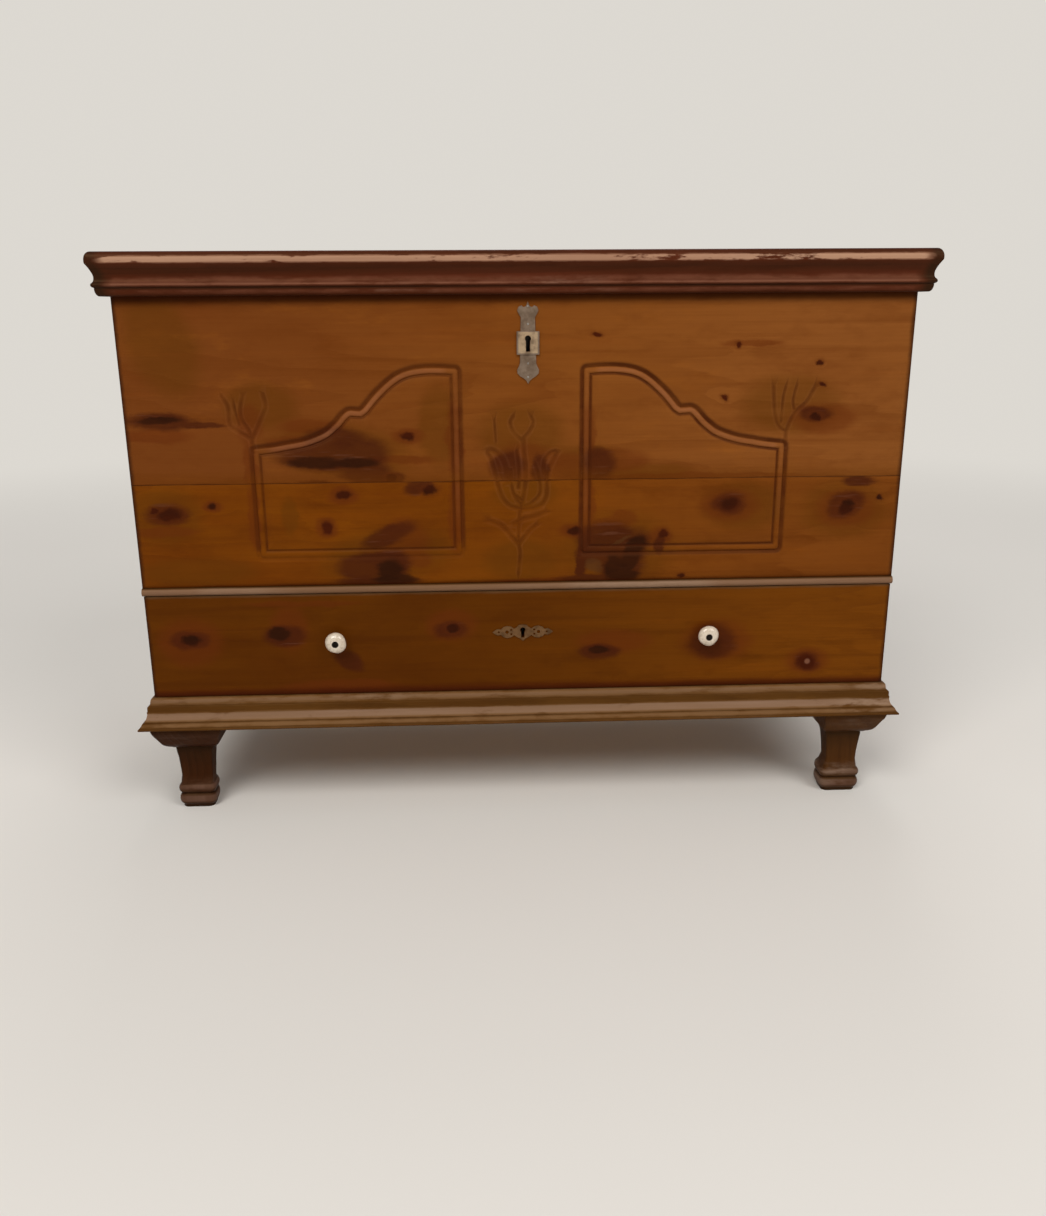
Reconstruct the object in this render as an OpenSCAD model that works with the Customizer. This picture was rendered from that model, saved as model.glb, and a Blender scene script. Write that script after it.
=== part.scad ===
// Lift-top blanket chest with one long drawer, on four shaped feet.
// The front faces -Y, the width lies along X and the floor is z = 0.

/* [Case] */
// Width over the case sides
case_w = 1126; // [1070:1:1400]
// Depth from the front face to the back face
case_d = 515; // [440:1:650]
// Height of the upper front board
upper_board_h = 297; // [270:1:400]
// Height of the lower front board
lower_board_h = 153; // [120:1:220]
// Height of the lower side boards
side_joint_h = 283; // [230:1:420]
// Thickness of the front and side boards
board_t = 20; // [18:0.5:26]
// Thickness of the back boards
back_t = 18; // [17:0.5:24]
// Width of side board left beside each end of the back boards
back_edge = 10; // [6:0.5:14]
// Thickness of the floor of the upper box
floor_t = 14; // [10:0.5:20]
// Thickness of the cleats and the waist rail under that floor
cleat_t = 20; // [16:0.5:26]
// Depth of the waist rail from front to back
rail_d = 70; // [40:1:110]

/* [Waist and base] */
// Height of the waist moulding
waist_h = 12; // [8:0.5:18]
// How far the waist moulding stands proud
waist_reach = 6; // [3:0.5:10]
// Height of the base moulding
base_h = 47; // [40:1:60]
// How far the base moulding's lower edge stands proud
base_reach = 23; // [21:0.5:32]

/* [Lid] */
// Thickness of the lid boards
lid_t = 22; // [18:0.5:28]
// How far the nose of the lid stands past the case
lid_reach = 23; // [21:0.5:34]
// Height of the moulding under the lid
skirt_h = 36; // [34:0.5:50]
// Depth of the front lid board behind the case front
lid_front_d = 255; // [150:1:350]
// Gap between the lid moulding and the case
skirt_gap = 1; // [0.5:0.1:2]
// Width of the battens inside the lid
batten_w = 24; // [18:1:40]
// Depth of the battens inside the lid
batten_h = 28; // [20:1:36]

/* [Panel frames] */
// Middle of the case to the inner leg of each frame
frame_in = 96; // [80:1:120]
// Case side to the outer leg of each frame
frame_margin = 182; // [150:1:190]
// Lower edge of the front boards to the frame's lower rail
frame_foot = 48; // [30:1:60]
// Height of the outer legs
frame_leg = 153; // [110:1:180]
// Width from groove to groove
frame_w = 17; // [14:0.5:20]
// Width of each groove
groove_w = 4; // [3:0.5:6]
// Depth of each groove
groove_depth = 3.5; // [2:0.5:6]

/* [Feet] */
// Height of the feet
foot_h = 147; // [130:1:180]
// Height of the cap at the top of a foot
foot_cap_h = 42; // [30:1:50]
// Width of the column under the cap
foot_w = 60; // [50:1:70]
// How far a column stands in from the case side
foot_inset = 20; // [14:1:30]
// How far the cap flares out past the column
foot_flare = 30; // [24:1:36]
// How far the cap flares in past the column
foot_inner_flare = 21; // [8:1:26]

/* [Drawer] */
// Height of the drawer opening on the front
drawer_zone_h = 160; // [150:1:200]
// Thickness of the lips that cover the side boards
lip_t = 8; // [6:0.5:10]
// Thickness of the drawer sides and back
drawer_side_t = 14; // [12:0.5:16]
// Thickness of the drawer bottom
drawer_bottom_t = 8; // [6:0.5:10]
// Free length behind the drawer box
drawer_back_gap = 12; // [8:1:40]
// Number of dovetails on each drawer side
tail_count = 4; // [3:1:5]
// Distance of the knobs from the middle
knob_x = 281; // [200:1:400]
// Diameter of the knobs
knob_d = 33; // [28:1:40]
// How far the knobs stand out
knob_reach = 26; // [22:1:34]

/* [Hinges and locks] */
// Distance of the hinges from the case sides
hinge_margin = 180; // [120:1:300]
// Length of the hinges
hinge_w = 72; // [60:1:90]
// Thickness of the hinge leaves
leaf_t = 2; // [1.5:0.1:2.5]
// Radius of the hinge knuckles
knuckle_r = 5; // [4.5:0.1:6]
// Radius of the hinge pins
pin_r = 2.5; // [2:0.1:3]
// How far the chest lock lies to the right of the middle
lock_x = 10; // [0:1:20]
// Width of the chest lock
lock_w = 110; // [106:1:130]
// Height of the chest lock
lock_h = 120; // [110:1:130]
// Thickness of the chest lock
lock_t = 16; // [15:0.5:20]
// Travel of the chest lock bolt
lock_travel = 10; // [8:0.5:11]
// Travel of the drawer lock bolt
drawer_lock_travel = 9; // [6:0.5:10]

/* [Hidden] */

$fn = 48;
// Steps in each curved stretch of a moulding profile
arc_n = 6;
// Overlap that lets one cut pass through a face
cut = 1;
// Clearance between pieces that slide or turn past each other
slide_gap = 0.3;
// Clearance in a glued joint
glue_gap = 0.1;
// Radial clearance of a hinge pin in a knuckle
pin_gap = 0.05;
// Visible gap round the drawer front
reveal = 1;
// Play at each side of the drawer box
drawer_play = 1.5;

// Levels above the floor
z_base = foot_h;
z_drawer = z_base + base_h;
z_waist = z_drawer + drawer_zone_h;
z_floor = z_waist + waist_h;
z_joint = z_floor + lower_board_h;
z_top = z_joint + upper_board_h;
z_lid = z_top + lid_t;

// Places across and along the case
half_w = case_w / 2;
inner_w = half_w - board_t;
hinge_off = knuckle_r + 0.5;
bolt_head_t = 1.2;
front_reach = max(lid_reach, base_reach, knob_reach + bolt_head_t);
back_reach = hinge_off + knuckle_r;
depth_all = front_reach + case_d + back_reach;
y_front = front_reach - depth_all / 2;
y_back = y_front + case_d;
y_inside = y_front + board_t;
y_back_inside = y_back - back_t;

pine = "#a8642a";
dark_pine = "#7d4a2c";
raw_pine = "#c49a63";
iron = "#4a4642";
pewter = "#8c877d";
bronze = "#7a6238";
porcelain = "#e6dcc6";

// Points of an elliptical arc round c
function arc_pts(c, rx, rz, a0, a1, n = arc_n) =
    [for (i = [0:n]) let(a = a0 + (a1 - a0) * i / n) [c[0] + rx * cos(a), c[1] + rz * sin(a)]];

// A closed counterclockwise outline moved outward by d
function edge_normal(p, q) = let(u = (q - p) / norm(q - p)) [u[1], -u[0]];
function grow(pts, d) = let(n = len(pts)) [for (i = [0:n - 1])
    let(a = edge_normal(pts[(i + n - 1) % n], pts[i]), b = edge_normal(pts[i], pts[(i + 1) % n]))
    pts[i] + d * (a + b) / (1 + a * b)];

// The same points from last to first
function reversed(pts) = [for (i = [len(pts) - 1:-1:0]) pts[i]];

module block(lo, hi) {
    translate(lo) cube(hi - lo);
}

// Extrudes a (y, z) outline along X
module along_x(x0, x1) {
    translate([x0, 0, 0]) rotate([90, 0, 90]) linear_extrude(x1 - x0) children();
}

// Extrudes an (x, z) outline along Y
module along_y(y0, y1) {
    translate([0, y1, 0]) rotate([90, 0, 0]) linear_extrude(y1 - y0) children();
}

module sides(s) {
    if (s < 0) mirror([1, 0, 0]) children();
    else children();
}

// Keyhole outline: a round head over a straight slot
keyhole_r = 4.3;
keyhole_slot = 6;
keyhole_drop = 18;
module keyhole(z, drop = keyhole_drop, slot = keyhole_slot, r = keyhole_r) {
    translate([0, z]) circle(r);
    translate([-slot / 2, z - drop]) square([slot, drop]);
}

// Arched panel frames

frame_out = half_w - frame_margin;
frame_z0 = z_floor + frame_foot;
frame_z1 = frame_z0 + frame_leg;
// Rise of the arch over the outer leg
arch_rise = 109;
// Radius of the large arc beside the inner leg, and the angle where it starts
crown_r = 87;
crown_a = 19.5;
// Radius of the small round ear between that arc and the hollow
ear_r = 16;
// Radius of the hollow arc over the shoulder
hollow_r = 114;
// Level shoulder beside the outer leg
shoulder_w = 36;
// Distances across from the hollow's centre to the centres of the ear and the large arc
ear_in = 105;
crown_in = 205;
hollow_c = [frame_out - shoulder_w, frame_z1 + hollow_r];

// The ear and the hollow meet on the line between their centres
ear_a = acos(ear_in / (hollow_r + ear_r));
ear_c = hollow_c - (hollow_r + ear_r) * [cos(ear_a), sin(ear_a)];
crown_c = [hollow_c[0] - crown_in, frame_z1 + arch_rise - crown_r];

// Middle line of the right-hand frame, counterclockwise from its lower inner corner
frame_path = concat([[frame_in, frame_z0], [frame_out, frame_z0], [frame_out, frame_z1]],
    arc_pts(hollow_c, hollow_r, hollow_r, 270, 180 + ear_a), arc_pts(ear_c, ear_r, ear_r, ear_a + 14, 120),
    arc_pts(crown_c, crown_r, crown_r, crown_a, 90), [[frame_in, frame_z1 + arch_rise]]);

module frame_groove(inner, outer) {
    difference() {
        along_y(y_front - cut, y_front + groove_depth) polygon(grow(frame_path, outer));
        along_y(y_front - 2 * cut, y_front + groove_depth + cut) polygon(grow(frame_path, inner));
    }
}

module frame_grooves() {
    for (s = [-1, 1]) sides(s) {
        frame_groove(frame_w / 2 - groove_w, frame_w / 2);
        frame_groove(-frame_w / 2, groove_w - frame_w / 2);
    }
}

// Chest lock and its escutcheon share this keyhole height
lock_top = z_top - 6;
lock_z0 = lock_top - lock_h;
key_z = lock_z0 + 30;

module front_board(z0, z1) {
    color(pine) difference() {
        block([-half_w, y_front, z0], [half_w, y_inside, z1]);
        frame_grooves();
        translate([lock_x, 0, 0]) along_y(y_front - cut, y_inside + cut) keyhole(key_z);
    }
}

// Side boards: the lower one carries the strip behind the drawer front's lip
z_side_joint = z_base + side_joint_h;

module side_board(s, z0, z1) {
    color(pine) sides(s) difference() {
        union() {
            block([inner_w, y_inside, z0], [half_w, y_back, z1]);
            if (z0 < z_drawer)
                block([inner_w, y_front + lip_t + slide_gap, z_drawer], [half_w, y_inside, z_waist]);
        }
        block([inner_w - cut, y_back_inside, z0 - cut], [half_w - back_edge, y_back + cut, z1 + cut]);
    }
}

// Back boards, three of one height
back_board_h = (z_top - z_base) / 3;

module back_board(i) {
    color(dark_pine) difference() {
        block([-half_w + back_edge, y_back_inside, z_base + i * back_board_h],
            [half_w - back_edge, y_back, z_base + (i + 1) * back_board_h]);
        for (s = [-1, 1]) sides(s) leaf_recess(z_top - leaf_t, z_top + cut);
    }
}

module chest_floor() {
    color(raw_pine) block([-inner_w, y_inside, z_floor], [inner_w, y_back_inside, z_floor + floor_t]);
}

// Cleats and rail that carry the floor
z_cleat = z_floor - cleat_t;

module floor_cleat_side(s) {
    color(raw_pine) sides(s)
        block([inner_w - cleat_t, y_inside + rail_d, z_cleat], [inner_w, y_back_inside, z_floor]);
}

module floor_cleat_back() {
    color(raw_pine) block([cleat_t - inner_w, y_back_inside - cleat_t, z_cleat],
        [inner_w - cleat_t, y_back_inside, z_floor]);
}

module waist_rail() {
    color(raw_pine) difference() {
        block([-inner_w, y_inside, z_cleat], [inner_w, y_inside + rail_d, z_floor]);
        block([-mortise_w / 2, y_inside + dlock_wall - slide_gap, z_cleat - cut],
            [mortise_w / 2, y_inside + dlock_t - dlock_wall + slide_gap, z_cleat + mortise_h]);
    }
}

module waist_moulding() {
    nose = arc_pts([y_front, z_waist + waist_h / 2], waist_reach, waist_h / 2, 90, 270, 2 * arc_n);
    color(dark_pine) along_x(-half_w, half_w)
        polygon(concat(nose, [[y_inside, z_waist], [y_inside, z_floor]]));
}

module bottom_rail() {
    color(pine) block([-half_w, y_front, z_base], [half_w, y_inside, z_drawer]);
}

// Runners that the drawer sides slide on
drawer_z0 = z_drawer + 3;
runner_h = 20;
runner_w = 32;

module drawer_runner(s) {
    z1 = drawer_z0 - slide_gap;
    color(raw_pine) sides(s)
        block([inner_w - runner_w, y_inside, z1 - runner_h], [inner_w, y_back_inside, z1]);
}

// Mitred mouldings: an outline of (reach, height) points runs round the front and both sides

module mitre_front(reach, z0, z1) {
    translate([0, 0, z0]) linear_extrude(z1 - z0) polygon([[-half_w - reach, y_front - reach],
        [half_w + reach, y_front - reach], [half_w, y_front], [-half_w, y_front]]);
}

module mitre_side(reach, z0, z1) {
    translate([0, 0, z0]) linear_extrude(z1 - z0) polygon([[half_w, y_front],
        [half_w + reach, y_front - reach], [half_w + reach, y_back], [half_w, y_back]]);
}

module moulding_front(profile, reach, z0, z1) {
    intersection() {
        along_x(-half_w - reach, half_w + reach) polygon([for (p = profile) [y_front - p[0], p[1]]]);
        mitre_front(reach + cut, z0 - cut, z1 + cut);
    }
}

module moulding_side(profile, reach, z0, z1) {
    intersection() {
        along_y(y_front - reach, y_back) polygon([for (p = profile) [half_w + p[0], p[1]]]);
        mitre_side(reach + cut, z0 - cut, z1 + cut);
    }
}

// Base moulding from the floor side up: fillet, fascia, cove, thumb bead
fillet_h = 8;
fascia_top = 19;
cove_top = 30;
fascia_p = base_reach - 4.5;
cove_p = base_reach - 14.5;
bead_p = base_reach - 17;
base_profile = concat([[0, z_base], [base_reach, z_base], [base_reach, z_base + 2.5],
    [fascia_p, z_base + fillet_h], [fascia_p - 1, z_base + fillet_h + 1], [fascia_p, z_base + fillet_h + 3]],
    reversed(arc_pts([fascia_p - 1, z_base + cove_top], fascia_p - 1 - cove_p, cove_top - fascia_top,
        180, 270)),
    reversed(arc_pts([bead_p - 3, z_base + cove_top + 4], 6.5, base_h - cove_top - 4, 90, -10)),
    [[0, z_drawer]]);

module base_moulding_front() {
    color(dark_pine) moulding_front(base_profile, base_reach, z_base, z_drawer);
}

module base_moulding_side(s) {
    color(dark_pine) sides(s) moulding_side(base_profile, base_reach, z_base, z_drawer);
}

// Moulding under the lid from its lower edge up: ovolo, bead, cove
z_skirt = z_top - skirt_h;
ovolo_p = lid_reach - 12;
throat_p = lid_reach - 7.5;
bead_z = 14.5;
skirt_profile = concat([[skirt_gap, z_skirt], [ovolo_p, z_skirt]],
    arc_pts([ovolo_p, z_skirt + 10], throat_p - ovolo_p, 9, -80, 0),
    arc_pts([throat_p - 0.5, z_skirt + bead_z], 3, 3, -65, 65),
    [for (t = [0:arc_n]) [throat_p + (lid_reach - 2.5 - throat_p) * pow(t / arc_n, 2),
        z_skirt + 20 + (skirt_h - 20) * t / arc_n]], [[skirt_gap, z_top]]);

module lid_moulding_front() {
    color(dark_pine) moulding_front(skirt_profile, lid_reach, z_skirt, z_top);
}

module lid_moulding_side(s) {
    color(dark_pine) sides(s) moulding_side(skirt_profile, lid_reach, z_skirt, z_top);
}

// Nose of the lid boards
nose_pts = concat([[lid_reach - 2.5, z_top], [lid_reach, z_top + 4]],
    arc_pts([lid_reach - 8, z_top + 9], 8, lid_t - 9, 0, 90));

module lid_slab(y0, y1) {
    color(dark_pine) difference() {
        intersection() {
            along_x(-half_w - lid_reach, half_w + lid_reach)
                polygon(concat([for (p = nose_pts) [y_front - p[0], p[1]]],
                    [[y_back, z_lid], [y_back, z_top]]));
            along_y(y_front - lid_reach, y_back)
                polygon(concat([for (p = nose_pts) [half_w + p[0], p[1]]],
                    [for (p = reversed(nose_pts)) [-half_w - p[0], p[1]]]));
            block([-half_w - 2 * lid_reach, y0, z_top - cut], [half_w + 2 * lid_reach, y1, z_lid + cut]);
        }
        for (s = [-1, 1]) sides(s) leaf_recess(z_top - cut, z_top + leaf_t);
    }
}

lid_joint_y = y_front + lid_front_d;

// Battens stand clear of the case when the lid swings
batten_gap = 3;

module lid_batten(s) {
    x1 = inner_w - batten_gap;
    color(raw_pine) sides(s) block([x1 - batten_w, y_inside + 2 * batten_gap, z_top - batten_h],
        [x1, y_back_inside - 2 * batten_gap, z_top]);
}

// Feet: one outline cut across both ways gives the square shaped foot

neck_in = 5;
ring_out = 2;
ring_z = 24;
ring_top = 40;
pad_h = 5;
cap_edge = 8;
cap_step = 2;
neck_top = foot_h - foot_cap_h - cap_step;
neck_foot = ring_top + 14;
function foot_ring(z0, z1) =
    arc_pts([neck_in - 1, (z0 + z1) / 2], neck_in - 1 + ring_out, (z1 - z0) / 2, 110, 250);
function foot_side(flare) = concat([[-flare, foot_h]],
    arc_pts([cap_step - flare / 3, foot_h - cap_edge], flare * 2 / 3 + cap_step, foot_cap_h - cap_edge - 1,
        180, 270),
    [[0, foot_h - foot_cap_h]],
    [for (t = [0:arc_n]) [neck_in * sin(90 * t / arc_n), neck_top - (neck_top - neck_foot) * t / arc_n]],
    foot_ring(ring_z, ring_top), foot_ring(pad_h, ring_z), [[ring_out, pad_h - 1], [ring_out, 0]]);
foot_pts = concat([for (p = foot_side(foot_flare)) [foot_inset + p[0], p[1]]],
    [for (p = reversed(foot_side(foot_inner_flare))) [foot_inset + foot_w - p[0], p[1]]]);
foot_span = foot_inset + foot_w + foot_inner_flare;
foot_past = foot_flare - foot_inset;

module foot_front(s) {
    color(dark_pine) sides(s) intersection() {
        along_y(y_front - foot_past, y_front + foot_span) polygon([for (p = foot_pts) [half_w - p[0], p[1]]]);
        along_x(half_w - foot_span, half_w + foot_past) polygon([for (p = foot_pts) [y_front + p[0], p[1]]]);
    }
}

module foot_rear(s) {
    color(dark_pine) sides(s) intersection() {
        along_y(y_back - foot_span, y_back) polygon([for (p = foot_pts) [half_w - p[0], p[1]]]);
        along_x(half_w - foot_span, half_w + foot_past) polygon([for (p = foot_pts) [y_back - p[0], p[1]]]);
    }
}

// Three-cornered blocks over the feet, under the runners
block_leg = 60;

module corner_block(s, y, dir) {
    h = drawer_z0 - slide_gap - runner_h - z_base;
    color(raw_pine) sides(s) translate([0, 0, z_base]) linear_extrude(h)
        polygon([[inner_w, y], [inner_w - block_leg, y], [inner_w, y + dir * block_leg]]);
}

// Hinges: two outer knuckles on the case leaf, the middle one on the lid leaf
axis_y = y_back + hinge_off;
hinge_x = half_w - hinge_margin;
knuckle_w = hinge_w / 3;
leaf_d = back_t - 0.5;

module leaf_recess(z0, z1) {
    block([hinge_x - hinge_w / 2 - glue_gap, y_back - leaf_d - glue_gap, z0],
        [hinge_x + hinge_w / 2 + glue_gap, y_back + cut, z1]);
}

module knuckle(x0, x1, r) {
    translate([x0, axis_y, z_top]) rotate([0, 90, 0]) cylinder(h = x1 - x0, r = r);
}

module case_hinge_leaf(s) {
    color(iron) sides(s) difference() {
        union() {
            block([hinge_x - hinge_w / 2, y_back - leaf_d, z_top - leaf_t],
                [hinge_x + hinge_w / 2, axis_y, z_top]);
            knuckle(hinge_x - hinge_w / 2, hinge_x - knuckle_w / 2, knuckle_r);
            knuckle(hinge_x + knuckle_w / 2, hinge_x + hinge_w / 2, knuckle_r);
        }
        block([hinge_x - knuckle_w / 2, y_back + 0.1, z_top - knuckle_r - cut],
            [hinge_x + knuckle_w / 2, axis_y + knuckle_r + cut, z_top + knuckle_r + cut]);
        knuckle(hinge_x - hinge_w / 2 - cut, hinge_x + hinge_w / 2 + cut, pin_r + pin_gap);
    }
}

module lid_hinge_leaf(s) {
    w = knuckle_w / 2 - slide_gap;
    color(iron) sides(s) difference() {
        union() {
            block([hinge_x - hinge_w / 2, y_back - leaf_d, z_top],
                [hinge_x + hinge_w / 2, y_back, z_top + leaf_t]);
            block([hinge_x - w, y_back - cut, z_top], [hinge_x + w, axis_y, z_top + leaf_t]);
            knuckle(hinge_x - w, hinge_x + w, knuckle_r);
        }
        knuckle(hinge_x - w - cut, hinge_x + w + cut, pin_r + pin_gap);
    }
}

pin_head_t = 1.5;

module hinge_pin(s) {
    color(iron) sides(s) {
        knuckle(hinge_x - hinge_w / 2 - pin_head_t, hinge_x + hinge_w / 2 + pin_head_t, pin_r);
        knuckle(hinge_x - hinge_w / 2 - pin_head_t, hinge_x - hinge_w / 2 - 0.05, pin_r + 1);
        knuckle(hinge_x + hinge_w / 2 + 0.05, hinge_x + hinge_w / 2 + pin_head_t, pin_r + 1);
    }
}

// Chest lock: the bolt slides sideways through two staples that hang from the lid
// Each staple: distance from the lock's middle, width, depth, drop below the lid, play in its slot
staple_x = 25;
staple_w = 5;
staple_d = 8;
staple_drop = 30;
staple_play = 1.3;
// The hollow that the staples drop into, and the pocket that the key turns in
chamber_z0 = lock_top - 35;
chamber_z1 = lock_top - 7;
chamber_wall = 3;
pocket_w = 30;
pocket_below = 22;
pocket_above = 12;
lock_mid_y = y_inside + lock_t / 2;
chamber_d = staple_d + 2 * staple_play;
// Bolt: a bar with two risers, each with a tongue that enters the eye of a staple
tongue_z0 = chamber_z1 - 13.5;
tongue_h = 7;
tongue_w = 3;
tongue_gap = 1.5;
riser_w = 6;
tongue_l = lock_travel + riser_w;
// Eye of a staple round the tongue
eye_side = 1;
eye_under = 0.5;
eye_over = 1.5;
plate_w = 90;
plate_t = 2;
plate_back = 4;

module chest_lock_case() {
    color(iron) translate([lock_x, 0, 0]) difference() {
        block([-lock_w / 2, y_inside, lock_z0], [lock_w / 2, y_inside + lock_t, lock_top]);
        block([chamber_wall - lock_w / 2, lock_mid_y - chamber_d / 2, chamber_z0],
            [lock_w / 2 - chamber_wall, lock_mid_y + chamber_d / 2, chamber_z1]);
        for (s = [-1, 1])
            block([s * staple_x - staple_w / 2 - staple_play, lock_mid_y - chamber_d / 2, chamber_z1 - cut],
                [s * staple_x + staple_w / 2 + staple_play, lock_mid_y + chamber_d / 2, lock_top + cut]);
        along_y(y_inside - cut, lock_mid_y) keyhole(key_z);
        block([-pocket_w / 2, lock_mid_y - chamber_d / 2, key_z - pocket_below],
            [pocket_w / 2, lock_mid_y + chamber_d / 2, key_z + pocket_above]);
    }
}

module chest_lock_bolt() {
    tip = staple_x - staple_w / 2 - tongue_gap;
    z0 = chamber_z0 + slide_gap;
    tail = -staple_x - staple_w / 2 - tongue_gap;
    color(pewter) translate([lock_x, lock_mid_y - tongue_w / 2, 0]) {
        block([tail - tongue_l, 0, z0], [tip - tongue_l + riser_w, tongue_w, z0 + riser_w]);
        for (x = [tail, tip]) {
            block([x - tongue_l, 0, z0], [x - tongue_l + riser_w, tongue_w, tongue_z0 + tongue_h]);
            block([x - tongue_l, 0, tongue_z0], [x, tongue_w, tongue_z0 + tongue_h]);
        }
    }
}

module lock_catch_plate() {
    eye_d = tongue_w + 2 * eye_side;
    color(iron) translate([lock_x, lock_mid_y, 0]) {
        block([-plate_w / 2, slide_gap - lock_t / 2, z_top - plate_t],
            [plate_w / 2, lock_t / 2 + plate_back, z_top]);
        for (s = [-1, 1]) difference() {
            block([s * staple_x - staple_w / 2, -staple_d / 2, z_top - staple_drop],
                [s * staple_x + staple_w / 2, staple_d / 2, z_top - plate_t]);
            block([s * staple_x - staple_w, -eye_d / 2, tongue_z0 - eye_under],
                [s * staple_x + staple_w, eye_d / 2, tongue_z0 + tongue_h + eye_over]);
        }
    }
}

// Escutcheons
plate_top = [[2.5, 50], [6, 48.5], [9, 51], [13, 49], [15, 44], [12.5, 39], [10, 35]];
plate_foot = [[11.5, -28], [13, -32], [15.5, -37], [15, -42], [11, -46], [6, -49], [2.5, -52]];
plate_right = concat([[0, 56]], plate_top, plate_foot, [[0, -57]]);
cover_w = 32;
escutcheon_t = 1.6;
cover_t = 3.2;

// Middle of the square cover, a little under the head of the keyhole
cover_z = key_z - 6;

module chest_escutcheon() {
    color(pewter) translate([lock_x, 0, 0]) difference() {
        union() {
            along_y(y_front - escutcheon_t, y_front) translate([0, cover_z])
                polygon(concat(plate_right, [for (p = reversed(plate_right)) if (p[0] > 0) [-p[0], p[1]]]));
            block([-cover_w / 2, y_front - cover_t, cover_z - cover_w / 2],
                [cover_w / 2, y_front, cover_z + cover_w / 2]);
        }
        along_y(y_front - 2 * cover_t, y_front + cut) keyhole(key_z);
    }
}

// Drawer lock: the bolt rises into the waist rail
dlock_w = 70;
dlock_t = 13;
dlock_wall = 3.3;
dlock_top = z_cleat - 1.5;
// Keyhole: height, round head, slot and drop below the head's centre
dkey_z = z_drawer + 97;
dkey_r = 4;
dkey_slot = 5;
dkey_drop = 12;
dlock_z0 = dkey_z - dkey_drop - 7;
dpocket_w = 24;
dpocket_gap = 3;
// Bolt, how far it stands below the lock's top, and the mortise over it
dbolt_w = 30;
dbolt_h = 20;
dbolt_sink = 1;
mortise_w = dbolt_w + 4;
mortise_h = drawer_lock_travel + 1.5;
knob_z = z_drawer + 87;
knob_bore_r = 2.4;

// Drawer box
box_w = inner_w - drawer_play;
box_in = box_w - drawer_side_t;
drawer_y0 = y_inside;
drawer_y1 = y_back_inside - drawer_back_gap;
drawer_z1 = z_cleat - 3;
bottom_z = drawer_z0 + 8;
groove_in = 6;
tail_pitch = (drawer_z1 - drawer_z0) / tail_count;
tail_l = board_t - lip_t;

module tails(x0, x1, gap) {
    for (i = [0:tail_count - 1]) {
        z = drawer_z0 + (i + 0.5) * tail_pitch;
        along_x(x0, x1) polygon([[drawer_y0 + cut, z - tail_pitch / 4 - gap],
            [drawer_y0, z - tail_pitch / 4 - gap],
            [drawer_y0 - tail_l + glue_gap - gap, z - tail_pitch / 3 - gap],
            [drawer_y0 - tail_l + glue_gap - gap, z + tail_pitch / 3 + gap],
            [drawer_y0, z + tail_pitch / 4 + gap], [drawer_y0 + cut, z + tail_pitch / 4 + gap]]);
    }
}

module drawer_front() {
    color(pine) difference() {
        union() {
            block([reveal - half_w, y_front, z_drawer + reveal],
                [half_w - reveal, y_front + lip_t, z_waist - reveal]);
            block([-box_w, y_front, z_drawer + reveal], [box_w, drawer_y0, z_waist - reveal]);
        }
        for (s = [-1, 1]) sides(s) tails(box_in - glue_gap, box_w + cut, glue_gap);
        block([-box_in, drawer_y0 - groove_in, bottom_z],
            [box_in, drawer_y0 + cut, bottom_z + drawer_bottom_t]);
        along_y(y_front - cut, drawer_y0 + cut) keyhole(dkey_z, dkey_drop, dkey_slot, dkey_r);
        for (s = [-1, 1])
            translate([s * knob_x, y_front - cut, knob_z]) rotate([-90, 0, 0])
                cylinder(h = board_t + 2 * cut, r = knob_bore_r);
    }
}

module drawer_side(s) {
    color(raw_pine) sides(s) difference() {
        union() {
            block([box_in, drawer_y0, drawer_z0], [box_w, drawer_y1, drawer_z1]);
            tails(box_in, box_w, 0);
        }
        block([box_in - cut, drawer_y0, bottom_z],
            [box_in + groove_in, drawer_y1 + cut, bottom_z + drawer_bottom_t]);
    }
}

module drawer_back() {
    color(raw_pine) block([-box_in, drawer_y1 - drawer_side_t, bottom_z + drawer_bottom_t],
        [box_in, drawer_y1, drawer_z1]);
}

module drawer_bottom() {
    g = glue_gap;
    color(raw_pine) {
        block([g - box_in - groove_in, drawer_y0 + g, bottom_z + g],
            [box_in + groove_in - g, drawer_y1, bottom_z + drawer_bottom_t - g]);
        block([g - box_in, drawer_y0 - groove_in + g, bottom_z + g],
            [box_in - g, drawer_y0 + 2 * g, bottom_z + drawer_bottom_t - g]);
    }
}

// Knob turned round its own axis, seated on the drawer front
knob_r = knob_d / 2;
knob_foot_r = 9;
knob_neck_r = 6.5;
knob_pts = concat([[knob_bore_r, 0], [knob_foot_r, 0], [knob_foot_r, 2]],
    arc_pts([knob_foot_r, 6], knob_foot_r - knob_neck_r, 4, 270, 180),
    arc_pts([knob_neck_r, knob_reach - 8], knob_r - knob_neck_r, 7, -75, 0, 2 * arc_n),
    arc_pts([6, knob_reach - 8], knob_r - 6, 8, 15, 90), [[knob_bore_r, knob_reach]]);

module knob(s) {
    color(porcelain) translate([s * knob_x, y_front, knob_z]) rotate([90, 0, 0]) rotate_extrude()
        polygon(knob_pts);
}

// Each knob bolt has a low head in front and a square nut inside the drawer
bolt_r = 2.2;
bolt_head_r = 3.4;
bolt_end = 3;
nut_w = 11;
nut_t = 4;

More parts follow.
